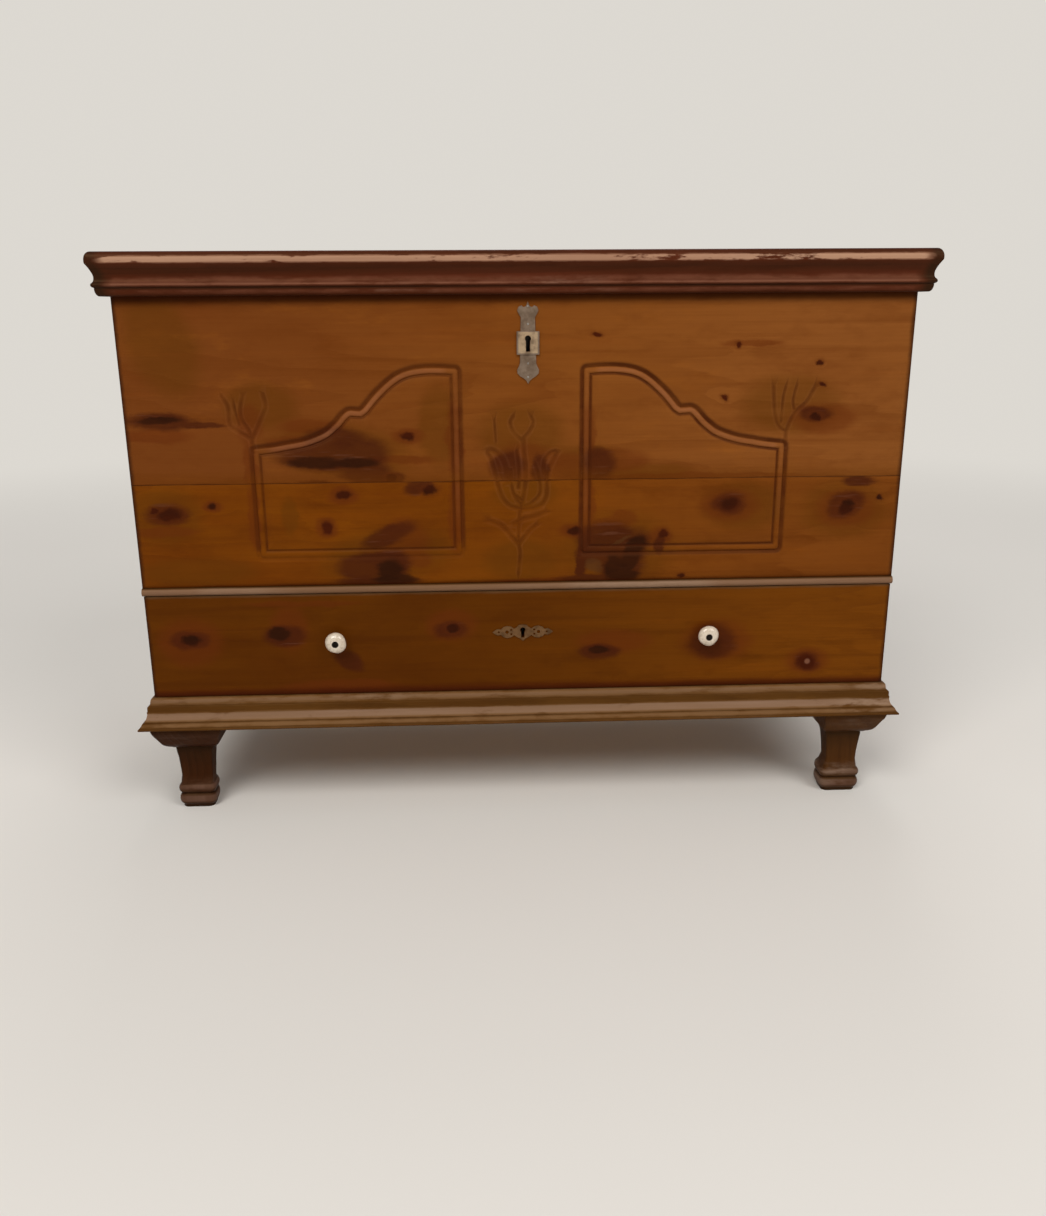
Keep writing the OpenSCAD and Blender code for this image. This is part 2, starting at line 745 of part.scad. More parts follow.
module knob_bolts() {
    color(iron) for (s = [-1, 1]) translate([s * knob_x, 0, knob_z]) {
        translate([0, drawer_y0 + nut_t + bolt_end, 0]) rotate([90, 0, 0])
            cylinder(h = board_t + knob_reach + nut_t + bolt_end, r = bolt_r);
        translate([0, y_front - knob_reach, 0]) rotate([90, 0, 0]) cylinder(h = bolt_head_t, r = bolt_head_r);
        difference() {
            block([-nut_w / 2, drawer_y0, -nut_w / 2], [nut_w / 2, drawer_y0 + nut_t, nut_w / 2]);
            translate([0, drawer_y0 - cut, 0]) rotate([-90, 0, 0])
                cylinder(h = nut_t + 2 * cut, r = bolt_r + pin_gap);
        }
    }
}

wing_top = [[0, 11.5], [6, 11], [9, 7.5], [13, 5], [18, 8.5], [24, 9.5], [30, 7.5], [33, 4], [38, 5],
    [42, 3]];
wing_foot = [[42, -3], [38, -5], [33, -4], [30, -7.5], [24, -9.5], [18, -8.5], [13, -5], [9, -8],
    [4, -10.5]];
wing_right = concat(wing_top, [[46, 0]], wing_foot, [[0, -14.5]]);
escutcheon_z = dkey_z - 3;

module drawer_escutcheon() {
    color(bronze) difference() {
        along_y(y_front - escutcheon_t, y_front) translate([0, escutcheon_z])
            polygon(concat(reversed(wing_right), [for (p = wing_right) if (p[0] > 0) [-p[0], p[1]]]));
        along_y(y_front - 2 * escutcheon_t, y_front + cut) keyhole(dkey_z, dkey_drop, dkey_slot, dkey_r);
        for (s = [-1, 1], h = [[17.5, 3.4, 1.7], [17.5, -3.4, 1.7], [24, 0, 2.6], [36.5, 0, 1.6]])
            translate([s * h[0], y_front + cut, escutcheon_z + h[1]]) rotate([90, 0, 0])
                cylinder(h = escutcheon_t + 2 * cut, r = h[2]);
    }
}

module drawer_lock_case() {
    color(iron) difference() {
        block([-dlock_w / 2, drawer_y0, dlock_z0], [dlock_w / 2, drawer_y0 + dlock_t, dlock_top]);
        block([-dbolt_w / 2 - slide_gap, drawer_y0 + dlock_wall, dlock_top - dbolt_h - 2],
            [dbolt_w / 2 + slide_gap, drawer_y0 + dlock_t - dlock_wall, dlock_top + cut]);
        along_y(drawer_y0 - cut, drawer_y0 + dlock_t / 2) keyhole(dkey_z, dkey_drop, dkey_slot, dkey_r);
        block([-dpocket_w / 2, drawer_y0 + dlock_wall, dkey_z - dkey_drop - dpocket_gap],
            [dpocket_w / 2, drawer_y0 + dlock_t - dlock_wall, dkey_z + dkey_r + dpocket_gap]);
    }
}

module drawer_lock_bolt() {
    color(pewter) block([-dbolt_w / 2, drawer_y0 + dlock_wall + slide_gap, dlock_top - dbolt_sink - dbolt_h],
        [dbolt_w / 2, drawer_y0 + dlock_t - dlock_wall - slide_gap, dlock_top - dbolt_sink]);
}

front_board(z_joint, z_top);  // front_board_upper
front_board(z_floor, z_joint);  // front_board_lower
side_board(-1, z_side_joint, z_top);  // side_board_upper_left
side_board(-1, z_base, z_side_joint);  // side_board_lower_left
side_board(1, z_side_joint, z_top);  // side_board_upper_right
side_board(1, z_base, z_side_joint);  // side_board_lower_right
back_board(0);  // back_board_lower
back_board(1);  // back_board_middle
back_board(2);  // back_board_upper
chest_floor();
floor_cleat_side(-1);  // floor_cleat_left
floor_cleat_side(1);  // floor_cleat_right
floor_cleat_back();
waist_rail();
waist_moulding();
bottom_rail();
drawer_runner(-1);  // drawer_runner_left
drawer_runner(1);  // drawer_runner_right
base_moulding_front();
base_moulding_side(-1);  // base_moulding_left
base_moulding_side(1);  // base_moulding_right
foot_front(-1);  // foot_front_left
foot_front(1);  // foot_front_right
foot_rear(-1);  // foot_rear_left
foot_rear(1);  // foot_rear_right
corner_block(-1, y_inside, 1);  // corner_block_front_left
corner_block(1, y_inside, 1);  // corner_block_front_right
corner_block(-1, y_back_inside, -1);  // corner_block_rear_left
corner_block(1, y_back_inside, -1);  // corner_block_rear_right
case_hinge_leaf(-1);  // case_hinge_leaf_left
case_hinge_leaf(1);  // case_hinge_leaf_right
hinge_pin(-1);  // hinge_pin_left
hinge_pin(1);  // hinge_pin_right
chest_lock_case();
chest_lock_bolt();
chest_escutcheon();
lid_slab(y_front - 2 * lid_reach, lid_joint_y);  // lid_board_front
lid_slab(lid_joint_y, y_back);  // lid_board_rear
lid_moulding_front();
lid_moulding_side(-1);  // lid_moulding_left
lid_moulding_side(1);  // lid_moulding_right
lid_batten(-1);  // lid_batten_left
lid_batten(1);  // lid_batten_right
lid_hinge_leaf(-1);  // lid_hinge_leaf_left
lid_hinge_leaf(1);  // lid_hinge_leaf_right
lock_catch_plate();
drawer_front();
drawer_side(-1);  // drawer_side_left
drawer_side(1);  // drawer_side_right
drawer_back();
drawer_bottom();
knob(-1);  // knob_left
knob(1);  // knob_right
knob_bolts();
drawer_escutcheon();
drawer_lock_case();
drawer_lock_bolt();
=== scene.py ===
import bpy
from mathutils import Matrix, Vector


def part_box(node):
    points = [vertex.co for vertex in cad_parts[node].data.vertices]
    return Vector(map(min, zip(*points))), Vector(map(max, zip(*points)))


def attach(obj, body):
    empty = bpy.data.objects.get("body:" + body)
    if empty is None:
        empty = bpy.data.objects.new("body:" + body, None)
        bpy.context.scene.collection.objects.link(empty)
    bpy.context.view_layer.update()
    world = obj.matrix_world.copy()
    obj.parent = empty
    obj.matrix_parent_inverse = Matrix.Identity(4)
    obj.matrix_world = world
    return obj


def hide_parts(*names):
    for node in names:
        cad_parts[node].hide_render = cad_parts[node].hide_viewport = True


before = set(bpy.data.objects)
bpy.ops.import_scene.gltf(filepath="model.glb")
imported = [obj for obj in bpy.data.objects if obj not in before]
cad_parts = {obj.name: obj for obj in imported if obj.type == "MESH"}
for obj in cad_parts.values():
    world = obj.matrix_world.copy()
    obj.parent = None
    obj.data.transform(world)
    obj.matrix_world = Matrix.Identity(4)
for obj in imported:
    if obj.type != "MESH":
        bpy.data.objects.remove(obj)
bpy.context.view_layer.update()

import math
import random

import bmesh
import bpy
import numpy as np
from mathutils import Matrix, Vector, geometry, noise

# Lift-top pine chest with one drawer. Everything is in metres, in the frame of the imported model.
MM = 0.001

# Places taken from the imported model
upper_lo, upper_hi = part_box("front_board_upper")
lid_lo, lid_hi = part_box("lid_board_front")
HALF_W = upper_hi.x
Y_FRONT = upper_lo.y
Y_INSIDE = upper_hi.y
Y_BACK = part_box("side_board_upper_left")[1].y
Z_TOP = upper_hi.z
Z_LID = lid_hi.z
LID_JOINT_Y = lid_hi.y
LID_REACH = Y_FRONT - lid_lo.y
PLATE_X = sum(corner.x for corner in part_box("chest_escutcheon")) / 2
KEY_Z = 720 * MM
KEYHOLE_R = 4.3 * MM
KEYHOLE_SLOT = 6 * MM
KEYHOLE_DROP = 18 * MM


# Shader helpers

COAT_ROUGHNESS = 0.08


class Nodes:
    """The shader nodes of a material or a world."""

    def __init__(self, owner):
        owner.use_nodes = True
        self.tree = owner.node_tree

    def node(self, kind, *values):
        """A new node with its first inputs given."""
        node = self.tree.nodes.new("ShaderNode" + kind)
        for socket, value in zip(node.inputs, values):
            self.give(socket, value)
        return node

    def give(self, socket, value):
        if isinstance(value, bpy.types.NodeSocket):
            self.tree.links.new(value, socket)
        elif isinstance(value, tuple) and len(value) == 3 and socket.type == "RGBA":
            socket.default_value = (*value, 1.0)
        else:
            socket.default_value = value

    def math(self, operation, *values):
        node = self.node("Math", *values)
        node.operation = operation
        return node.outputs[0]


class Finish(Nodes):
    """A material, with short calls for the nodes that build it. tint is the colour of its highlights."""

    def __init__(self, name, roughness=0.5, specular=0.5, metallic=0.0, coat=0.0, tint=(1.0, 1.0, 1.0)):
        self.material = bpy.data.materials.new(name)
        super().__init__(self.material)
        self.shader = self.tree.nodes["Principled BSDF"]
        for key, value in (("Roughness", roughness), ("Specular IOR Level", specular), ("Metallic", metallic),
                           ("Coat Weight", coat), ("Coat Roughness", COAT_ROUGHNESS),
                           ("Specular Tint", tint)):
            self.give(self.shader.inputs[key], value)
        self.place = self.node("TexCoord").outputs["Object"]

    def add(self, a, b):
        return self.math("ADD", a, b)

    def less(self, a, b):
        return self.math("SUBTRACT", a, b)

    def times(self, a, b):
        return self.math("MULTIPLY", a, b)

    def gap(self, a, b):
        return self.math("ABSOLUTE", self.less(a, b))

    def vector(self, operation, *values):
        node = self.node("VectorMath", *values)
        node.operation = operation
        return node.outputs["Value" if operation == "LENGTH" else "Vector"]

    def split(self, value):
        return tuple(self.node("SeparateXYZ", value).outputs)

    def join(self, x, y, z):
        return self.node("CombineXYZ", x, y, z).outputs[0]

    def noise(self, place, scale, detail=2.0, roughness=0.5, colour=False):
        node = self.node("TexNoise", place)
        for key, value in (("Scale", scale), ("Detail", detail), ("Roughness", roughness)):
            node.inputs[key].default_value = value
        return node.outputs["Color" if colour else "Fac"]

    def drawn(self, place, size, detail=2.0, roughness=0.5, colour=False):
        """Noise with its own scale along each axis."""
        return self.noise(self.vector("MULTIPLY", place, size), 1.0, detail, roughness, colour)

    def shift(self, place, colour, size):
        """A place moved by a noise colour, by at most half the given size."""
        return self.vector("ADD", place, self.vector(
            "MULTIPLY", self.vector("SUBTRACT", colour, (0.5, 0.5, 0.5)), size))

    def cells(self, place, scale):
        """Distance to the nearest of many scattered points, and that point's random colour."""
        node = self.node("TexVoronoi", place)
        node.inputs["Scale"].default_value = scale
        return node.outputs["Distance"], node.outputs["Color"]

    def step(self, value, low, high, bottom=0.0, top=1.0):
        """A smooth step from bottom to top as value goes from low to high."""
        node = self.node("MapRange", value, low, high, bottom, top)
        node.interpolation_type = "SMOOTHSTEP"
        return node.outputs[0]

    def mix(self, factor, a, b, kind="MIX"):
        node = self.node("Mix", factor)
        node.data_type = "RGBA"
        node.blend_type = kind
        self.give(node.inputs[6], a)
        self.give(node.inputs[7], b)
        return node.outputs[2]

    def attribute(self, name):
        node = self.node("Attribute")
        node.attribute_name = name
        return node.outputs["Fac"]

    def finish(self, colour, height, distance, strength=1.0):
        """Connects the colour and the bump, and gives the material."""
        node = self.node("Bump")
        node.inputs["Strength"].default_value = strength
        node.inputs["Distance"].default_value = distance
        self.give(node.inputs["Height"], height)
        self.give(self.shader.inputs["Normal"], node.outputs[0])
        self.give(self.shader.inputs["Base Color"], colour)
        return self.material

    def spots(self, place, shapes, melt=0.0):
        """Least distance to a list of ellipses (x, z, half width, half height, turn), 1 at their edge."""
        least = None
        for x, z, wide, high, *turn in shapes:
            node = self.node("Mapping", place, (x * MM, 0, z * MM), (0, math.radians(*turn or [0]), 0),
                             (wide * MM, 1000, high * MM))
            node.vector_type = "TEXTURE"
            here = self.vector("LENGTH", node.outputs[0])
            least = here if least is None else self.math("SMOOTH_MIN", least, here, melt)
        return least


# Wood

DIRT_AND_SHADE = (0.034, 0.0046, 0.001)
WOOD_TINT = (1.0, 0.66, 0.3)
# Stained patches in the order they are laid, with their colour and strength
PATCHES = {"brown": ((0.098, 0.03, 0.0018), 0.55), "red": ((0.108, 0.02, 0.0028), 0.6),
           "stain": ((0.052, 0.0094, 0.0028), 0.92), "grey": ((0.08, 0.031, 0.009), 0.6),
           "dark": ((0.02, 0.0044, 0.0018), 0.92)}
SCRATCHED = (0.2, 0.085, 0.05)
KNOT_HALO = (0.085, 0.016, 0.003)
KNOT_CORES = ((0.046, 0.006, 0.0016), (0.016, 0.0034, 0.0018))
CUT_FINISH_AND_SHADE = (0.058, 0.011, 0.0026)
CREST_WEAR_AND_HIGHLIGHT = (0.34, 0.13, 0.058)
DRY_WEAR = (0.46, 0.34, 0.25)
GRIME_AND_SHADE = (0.018, 0.0085, 0.004)
FADED = (0.25, 0.175, 0.1)
EDGE_DIRT_AND_SHADE = (0.022, 0.006, 0.003)
# Depth from the outside at which a board of the case is unfinished wood
BARE_FROM = 18.4 * MM
BARE_FULL = 19.0 * MM
# The tree: growth rings to the metre, how far across it the grain runs, and how deep its heart lies
RING_COUNT = 190.0
HEART_ACROSS = 0.17
HEART_DEPTH = 0.045
# How far apart in the tree the pieces lie that share a material
PIECE_SPREAD = 37.0


class Wood(Finish):
    """Flat-sawn pine, coloured in layers that each cover the one before."""

    def __init__(self, name, grain, seed, scattered, knots, roughness, specular):
        super().__init__(name, roughness, specular, tint=WOOD_TINT)
        x, y, z = self.x, self.y, self.z = self.split(self.place)
        along = {"X": (x, z, y), "Y": (y, z, x), "Z": (z, x, y)}[grain]
        own = self.times(self.node("ObjectInfo").outputs["Random"], PIECE_SPREAD) if scattered else seed
        # Place in the wood: along the grain, across it and into the board
        self.p = self.vector("ADD", self.join(*along), self.join(own, self.times(own, 0.37), seed))
        self.knot = self.knots(knots, scattered)
        self.late = self.rings()
        self.fibre = self.drawn(self.p, (9.0, 420.0, 420.0), 3.0, 0.6)
        self.streak = self.drawn(self.p, (2.2, 55.0, 55.0), 3.0, 0.55)
        self.cloud = self.drawn(self.p, (2.4, 6.5, 6.5), 5.0, 0.6)
        self.blotch = self.drawn(self.p, (16.0, 42.0, 42.0), 4.0, 0.6)
        self.height = self.add(self.times(self.fibre, 0.5), self.times(self.late, 0.5))

    def cover(self, factor, shade):
        self.colour = self.mix(factor, self.colour, shade)

    def knots(self, listed, scattered):
        """Distance to the nearest knot, 1 at its ragged edge, or None."""
        knot = None
        if listed:
            ragged = self.noise(self.place, 48.0, 4.0, 0.62, colour=True)
            knot = self.spots(self.shift(self.place, ragged, (0.02, 0.0, 0.014)), listed)
        if scattered:
            reach, pick = self.cells(self.vector("MULTIPLY", self.p, (0.55, 1.0, 1.0)), 5.0)
            size = self.step(self.split(pick)[0], 1.0 - scattered, 1.0, 0.004, 0.075)
            rough = self.times(self.less(self.noise(self.p, 60.0, 3.0), 0.5), 0.05)
            loose = self.math("DIVIDE", self.add(reach, rough), size)
            knot = loose if knot is None else self.math("MINIMUM", knot, loose)
        return knot

    def rings(self):
        """Late wood, in growth rings round the heart of the tree that bend a little round the knots."""
        u, v, w = self.split(self.p)
        drift = self.less(self.drawn(self.p, (1.3, 4.0, 4.0)), 0.5)
        across = self.math("PINGPONG", self.add(v, self.times(drift, 0.1)), HEART_ACROSS)
        deep = self.add(self.times(w, 0.6), HEART_DEPTH)
        ring = self.math("SQRT", self.add(self.math("POWER", across, 2.0), self.math("POWER", deep, 2.0)))
        ring = self.add(ring, self.times(u, 0.012))
        if self.knot is not None:
            ring = self.add(ring, self.times(self.step(self.knot, 6.0, 0.3), 0.002))
        ripple = self.times(self.drawn(self.p, (3, 60, 60)), 0.7)
        wander = self.times(self.drawn(self.p, (0.8, 8.0, 8.0)), 9.0)
        turns = self.math("FRACT", self.add(self.add(self.times(ring, RING_COUNT), ripple), wander))
        late = self.times(self.step(turns, 0.3, 0.92), self.step(turns, 1.0, 0.95))
        return self.times(late, self.step(self.drawn(self.p, (1.6, 7.0, 7.0), 3.0), 0.36, 0.66, 0.15, 1.0))

    def lay_timber(self, tones, tone_left, tone_right):
        main, second, late_tone = tones
        self.colour = self.mix(self.step(self.cloud, 0.36, 0.68), main, second)
        if tone_left:
            self.cover(self.step(self.x, 0.3, -0.5), tone_left)
        if tone_right:
            self.cover(self.step(self.x, -0.1, 0.5), tone_right)
        mottle = self.drawn(self.p, (6.5, 19.0, 19.0), 5.0, 0.66)
        self.cover(self.step(mottle, 0.5, 0.7, 0.0, 0.34), late_tone)
        light = self.mix(1.0, main, (1.3, 1.3, 1.1), "MULTIPLY")
        self.cover(self.step(mottle, 0.46, 0.3, 0.0, 0.3), light)
        self.cover(self.times(self.late, 0.3), late_tone)
        self.cover(self.step(self.streak, 0.52, 0.8, 0.0, 0.45), late_tone)
        self.cover(self.times(self.step(self.fibre, 0.35, 0.75), 0.16), late_tone)
        self.cover(self.step(self.blotch, 0.5, 0.78, 0.0, 0.3), late_tone)
        lit = self.mix(1.0, self.colour, (1.34, 1.27, 1.2), "MULTIPLY")
        self.cover(self.step(self.streak, 0.46, 0.24, 0.0, 0.3), lit)

    def lay_patches(self, patches):
        """Stained patches, ragged and drawn out along the grain."""
        ragged = self.drawn(self.place, (20, 20, 40), 5.0, 0.68, colour=True)
        there = self.shift(self.place, ragged, (0.028, 0.0, 0.015))
        thin = self.step(self.blotch, 0.36, 0.58, 1.0, 0.86)
        scratch = self.step(self.drawn(self.p, (14.0, 150.0, 150.0), 3.0, 0.6), 0.6, 0.72, 0.0, 0.2)
        for kind, (shade, strength) in PATCHES.items():
            if kind in patches:
                veil = self.step(self.spots(there, patches[kind], 0.5), 1.22, 0.66, 0.0, strength)
                self.cover(self.times(veil, thin), shade)
                if kind == "stain":
                    self.cover(self.times(veil, scratch), SCRATCHED)

    def lay_knots(self, eyes):
        """Dark knots. eyes are the pale hearts of some."""
        if self.knot is not None:
            self.cover(self.step(self.knot, 2.5, 0.8, 0.0, 0.45), KNOT_HALO)
            core = self.mix(self.step(self.cloud, 0.42, 0.58), *KNOT_CORES)
            self.cover(self.step(self.knot, 1.45, 0.65, 0.0, 0.95), core)
            self.height = self.add(self.height, self.step(self.knot, 1.3, 0.9, 0.0, 0.6))
        if eyes:
            self.cover(self.step(self.spots(self.place, eyes), 1.3, 0.5, 0.0, 0.75), SCRATCHED)

    def lay_carving(self):
        """Cut lines hold dark finish and painted shade, and raised edges lose finish and carry a painted
        highlight.
        """
        dark = self.step(self.blotch, 0.3, 0.7, 0.9, 0.55)
        self.cover(self.times(self.attribute("cut"), dark), CUT_FINISH_AND_SHADE)
        pale = self.step(self.streak, 0.3, 0.7, 0.55, 0.3)
        self.cover(self.times(self.attribute("crest"), pale), CREST_WEAR_AND_HIGHLIGHT)

    def lay_wear_highlight_and_shade(self, slight, strong, chipped):
        """Finish rubbed off in patches where the mesh says so, with painted highlights on lit faces, and
        grime with painted shade in its hollows and under overhangs.
        """
        patchy = self.drawn(self.place, (22.0, 22.0, 90.0), 5.0, 0.66)
        spell = self.drawn(self.place, (3.2, 3.2, 9.0), 3.0)
        wear_and_highlight = self.attribute("wear_and_highlight")
        loss = self.times(self.less(self.add(patchy, self.times(spell, 0.8)), 0.9), 5.0 * chipped)
        rub_and_highlight = self.times(wear_and_highlight, self.less(1.0, loss))
        bare_and_lit = self.mix(self.step(wear_and_highlight, 0.72, 1.02), slight, strong)
        bare_and_lit = self.mix(self.step(self.streak, 0.35, 0.65, 0.0, 0.45), bare_and_lit, slight)
        bare_and_lit = self.mix(self.step(spell, 0.52, 0.66, 0.0, 0.22), bare_and_lit, DRY_WEAR)
        self.cover(self.step(rub_and_highlight, 0.25, 0.95, 0.0, 0.96), bare_and_lit)
        # Grime with painted shade, where the mesh says so
        self.cover(self.times(self.attribute("grime_and_shade"), 0.88), GRIME_AND_SHADE)

    def lay_bare_inside(self):
        """The faces inside the case were never finished."""
        half = self.less(HALF_W, self.math("ABSOLUTE", self.x))
        within = self.times(self.step(half, BARE_FROM, BARE_FULL),
                            self.step(self.less(self.y, Y_FRONT), BARE_FROM, BARE_FULL))
        self.cover(within, self.mix(self.times(self.late, 0.3), (0.34, 0.185, 0.075), (0.22, 0.1, 0.032)))

    def lay_bare_under(self):
        """The underside of the lid was never finished."""
        under = self.times(self.step(self.math("ABSOLUTE", self.x), HALF_W, HALF_W - 1 * MM),
                           self.step(self.y, Y_FRONT, Y_FRONT + 1 * MM))
        under = self.times(under, self.step(self.z, Z_TOP + 0.6 * MM, Z_TOP + 0.2 * MM))
        aged = self.mix(self.step(self.cloud, 0.36, 0.66), (0.26, 0.13, 0.05), (0.2, 0.094, 0.034))
        self.cover(under, self.mix(self.times(self.late, 0.35), aged, (0.14, 0.06, 0.02)))

    def lay_dirt_and_shade(self, bands, covered, edges):
        """Bands are (height, half width, strength, colour): dark joints and tones, grime, painted shade and
        painted highlight. covered is painted shadow of the lid with grime, dark from (low, high, strength)
        up, and edges darken the ends with grime and painted shade.
        """
        uneven = self.times(self.less(self.blotch, 0.5), 0.006)
        for line, half, strength, shade in bands:
            gap = self.add(self.gap(self.z, line * MM), uneven)
            self.cover(self.step(gap, half * MM, 0.0, 0.0, strength), shade)
        # Painted shadow of the lid's overhang, with grime, strongest just under the lid's edge and fainter
        # above
        if covered:
            low, high, strength = covered
            up = self.add(self.z, uneven)
            self.cover(self.times(self.step(up, low * MM, high * MM, 0.0, strength),
                                  self.step(up, high * MM, (high + 22) * MM, 1.0, 0.55)), DIRT_AND_SHADE)
        # The ends of the board darken with grime and painted shade
        if edges:
            gap = self.add(self.less(HALF_W, self.math("ABSOLUTE", self.x)), uneven)
            self.cover(self.step(gap, 8 * MM, 1 * MM, 0.0, edges), EDGE_DIRT_AND_SHADE)


def wood(name, tones, grain="X", seed=0.0, scattered=0.0, knots=(), patches=None, eyes=(), tone_left=None,
         tone_right=None, worn_and_lit=None, chipped=0.5, fade=0.0, bare_inside=False, bare_under=False, bands=(),
         covered=None, edges=0.0, roughness=0.42, specular=0.09, gloss=0.06, bump=0.25):
    """A pine material. tones are its main, second and late-wood colours, worn_and_lit its rubbed colours,
    which also paint highlights.
    """
    f = Wood(name, grain, seed, scattered, knots, roughness, specular)
    f.lay_timber(tones, tone_left, tone_right)
    if patches:
        f.lay_patches(patches)
    f.lay_knots(eyes)
    f.lay_carving()
    if worn_and_lit:
        f.lay_wear_highlight_and_shade(*worn_and_lit, chipped)
    if fade:
        f.cover(f.step(f.noise(f.place, 9.0, 4.0, 0.6), 0.45, 0.75, 0.0, fade), FADED)
    if bare_inside:
        f.lay_bare_inside()
    if bare_under:
        f.lay_bare_under()
    f.lay_dirt_and_shade(bands, covered, edges)
    sheen = f.drawn(f.p, (5.0, 22.0, 22.0), 3.0)
    f.give(f.shader.inputs["Roughness"], f.step(sheen, 0.3, 0.7, roughness - gloss, roughness + gloss))
    return f.finish(f.colour, f.height, bump * MM)


# Metals and glaze

def metal(name, colour, tarnish, roughness, metallic=1.0, cover=None):
    """Aged metal. cover is a lighter rectangle (x, z, half width, half height, colour)."""
    f = Finish(name, roughness, 0.5, metallic)
    cloud = f.noise(f.place, 70.0, 3.0, 0.55)
    speck = f.noise(f.place, 420.0, 3.0, 0.6)
    if cover:
        cx, cz, wide, high, light = cover
        x, _, z = f.split(f.place)
        inside = f.times(f.step(f.gap(x, cx), wide + 0.4 * MM, wide),
                         f.step(f.gap(z, cz), high + 0.4 * MM, high))
        colour = f.mix(inside, colour, light)
    shade = f.mix(f.step(cloud, 0.35, 0.7, 0.0, 0.75), colour, tarnish)
    shade = f.mix(f.step(speck, 0.58, 0.76, 0.0, 0.4), shade, tarnish)
    f.give(f.shader.inputs["Roughness"], f.step(cloud, 0.3, 0.7, roughness - 0.1, roughness + 0.15))
    return f.finish(shade, f.add(speck, f.times(cloud, 0.6)), 0.12 * MM, 0.6)


def glaze(name):
    f = Finish(name, 0.18, coat=0.5)
    cloud = f.noise(f.place, 130.0, 3.0)
    craze, _ = f.cells(f.shift(f.place, f.noise(f.place, 300.0, colour=True), (0.002,) * 3), 330.0)
    shade = f.mix(f.step(cloud, 0.4, 0.72), (0.67, 0.58, 0.47), (0.57, 0.47, 0.36))
    shade = f.mix(f.step(craze, 0.62, 0.8, 0.0, 0.25), shade, (0.3, 0.2, 0.12))
    # Dirt and painted shade round the bolt hole
    dirty_and_shaded = f.add(f.attribute("grime_and_shade"), f.times(f.less(cloud, 0.5), 0.6))
    shade = f.mix(f.step(dirty_and_shaded, 0.25, 0.9, 0.0, 0.96), shade, (0.016, 0.009, 0.006))
    return f.finish(shade, cloud, 0.1 * MM, 0.5)


AMBER = ((0.205, 0.063, 0.009), (0.172, 0.048, 0.006), (0.112, 0.026, 0.003))
OLIVE_AMBER = ((0.162, 0.043, 0.0016), (0.13, 0.03, 0.0012), (0.084, 0.017, 0.0009))
# The drawer's tones are darker, partly its own tone and partly painted shade of the light falling off towards
# the floor
DARK_AMBER_AND_SHADE = ((0.1, 0.0268, 0.0009), (0.084, 0.0205, 0.0008), (0.058, 0.0118, 0.0006))
RED_STAIN = ((0.066, 0.0135, 0.005), (0.088, 0.019, 0.008), (0.036, 0.007, 0.003))
BROWN_STAIN = ((0.118, 0.047, 0.009), (0.092, 0.033, 0.0055), (0.058, 0.02, 0.0035))
FOOT_STAIN = ((0.041, 0.0112, 0.0032), (0.029, 0.007, 0.0018), (0.017, 0.0042, 0.0014))
RAW = ((0.42, 0.235, 0.095), (0.35, 0.185, 0.07), (0.24, 0.11, 0.035))
BACK = ((0.205, 0.115, 0.052), (0.165, 0.09, 0.04), (0.105, 0.052, 0.022))
SIDE = ((0.172, 0.052, 0.007), (0.135, 0.038, 0.0045), (0.085, 0.02, 0.003))
# Wear colours, lightly rubbed and rubbed bare, which also paint highlights on lit faces
PALE_WEAR_AND_HIGHLIGHT = ((0.22, 0.1, 0.06), (0.42, 0.24, 0.155))
PINK_WEAR_AND_HIGHLIGHT = ((0.12, 0.038, 0.02), (0.2, 0.085, 0.052))
SAND_WEAR_AND_HIGHLIGHT = ((0.135, 0.064, 0.026), (0.205, 0.114, 0.068))
DUSTY_WEAR_AND_HIGHLIGHT = ((0.168, 0.084, 0.034), (0.262, 0.16, 0.106))
FOOT_WEAR_AND_HIGHLIGHT = ((0.064, 0.027, 0.014), (0.12, 0.062, 0.042))

# Knots and stains of the front, as (x, z, half width, half height) in millimetres, and a turn in degrees
UPPER_KNOTS = [
    (-163, 585, 9, 5), (310, 709, 4, 3.5), (292, 635, 5, 3.5, 20), (430, 684, 4, 3), (435, 653, 4.5, 3),
    (428, 607, 8, 6, 30), (108, 725, 6, 2.5), (-189, 525, 8, 4.5, -10)]
UPPER_PATCHES = {
    "brown": [(0, 585, 66, 48), (95, 545, 60, 26), (-260, 565, 110, 40, 6), (-370, 630, 54, 34),
        (390, 625, 76, 44), (-500, 715, 50, 76, -18), (180, 530, 70, 12), (-120, 600, 30, 60)],
    "red": [(-520, 588, 52, 11), (66, 538, 40, 22), (-387, 606, 20, 28), (136, 546, 52, 18),
        (-163, 585, 26, 12), (-175, 552, 50, 7), (-300, 600, 46, 12), (440, 604, 50, 24),
        (-390, 540, 12, 44), (-97, 580, 12, 60), (97, 570, 12, 60), (4, 545, 50, 30), (330, 712, 44, 5),
        (230, 523, 200, 5), (-330, 575, 40, 14)],
    "stain": [(-290, 555, 66, 20, 3), (-238, 560, 50, 26), (-268, 580, 46, 19), (-226, 532, 40, 16),
        (-302, 516, 30, 8), (-512, 609, 52, 13, 2), (-455, 603, 34, 5), (430, 611, 24, 11),
        (-20, 540, 26, 24), (28, 534, 14, 22), (-186, 524, 18, 10), (112, 542, 26, 24)],
    "dark": [(-300, 549, 40, 9, 2), (-240, 548, 34, 8), (-514, 610, 34, 6)]}
LOWER_KNOTS = [
    (-513, 476, 16, 9.5, -8), (-534, 481, 5, 4), (-449, 486, 6, 3.5), (-260, 501, 10, 6.5),
    (-287, 454, 8, 8.5, 20), (-133, 507, 10, 6, -15), (78, 444, 9, 6, 15), (211, 437, 7, 6),
    (308, 481, 14, 9.5, -10), (483, 473, 13, 9, -35), (535, 487, 4, 3.5), (240, 372, 5, 3)]
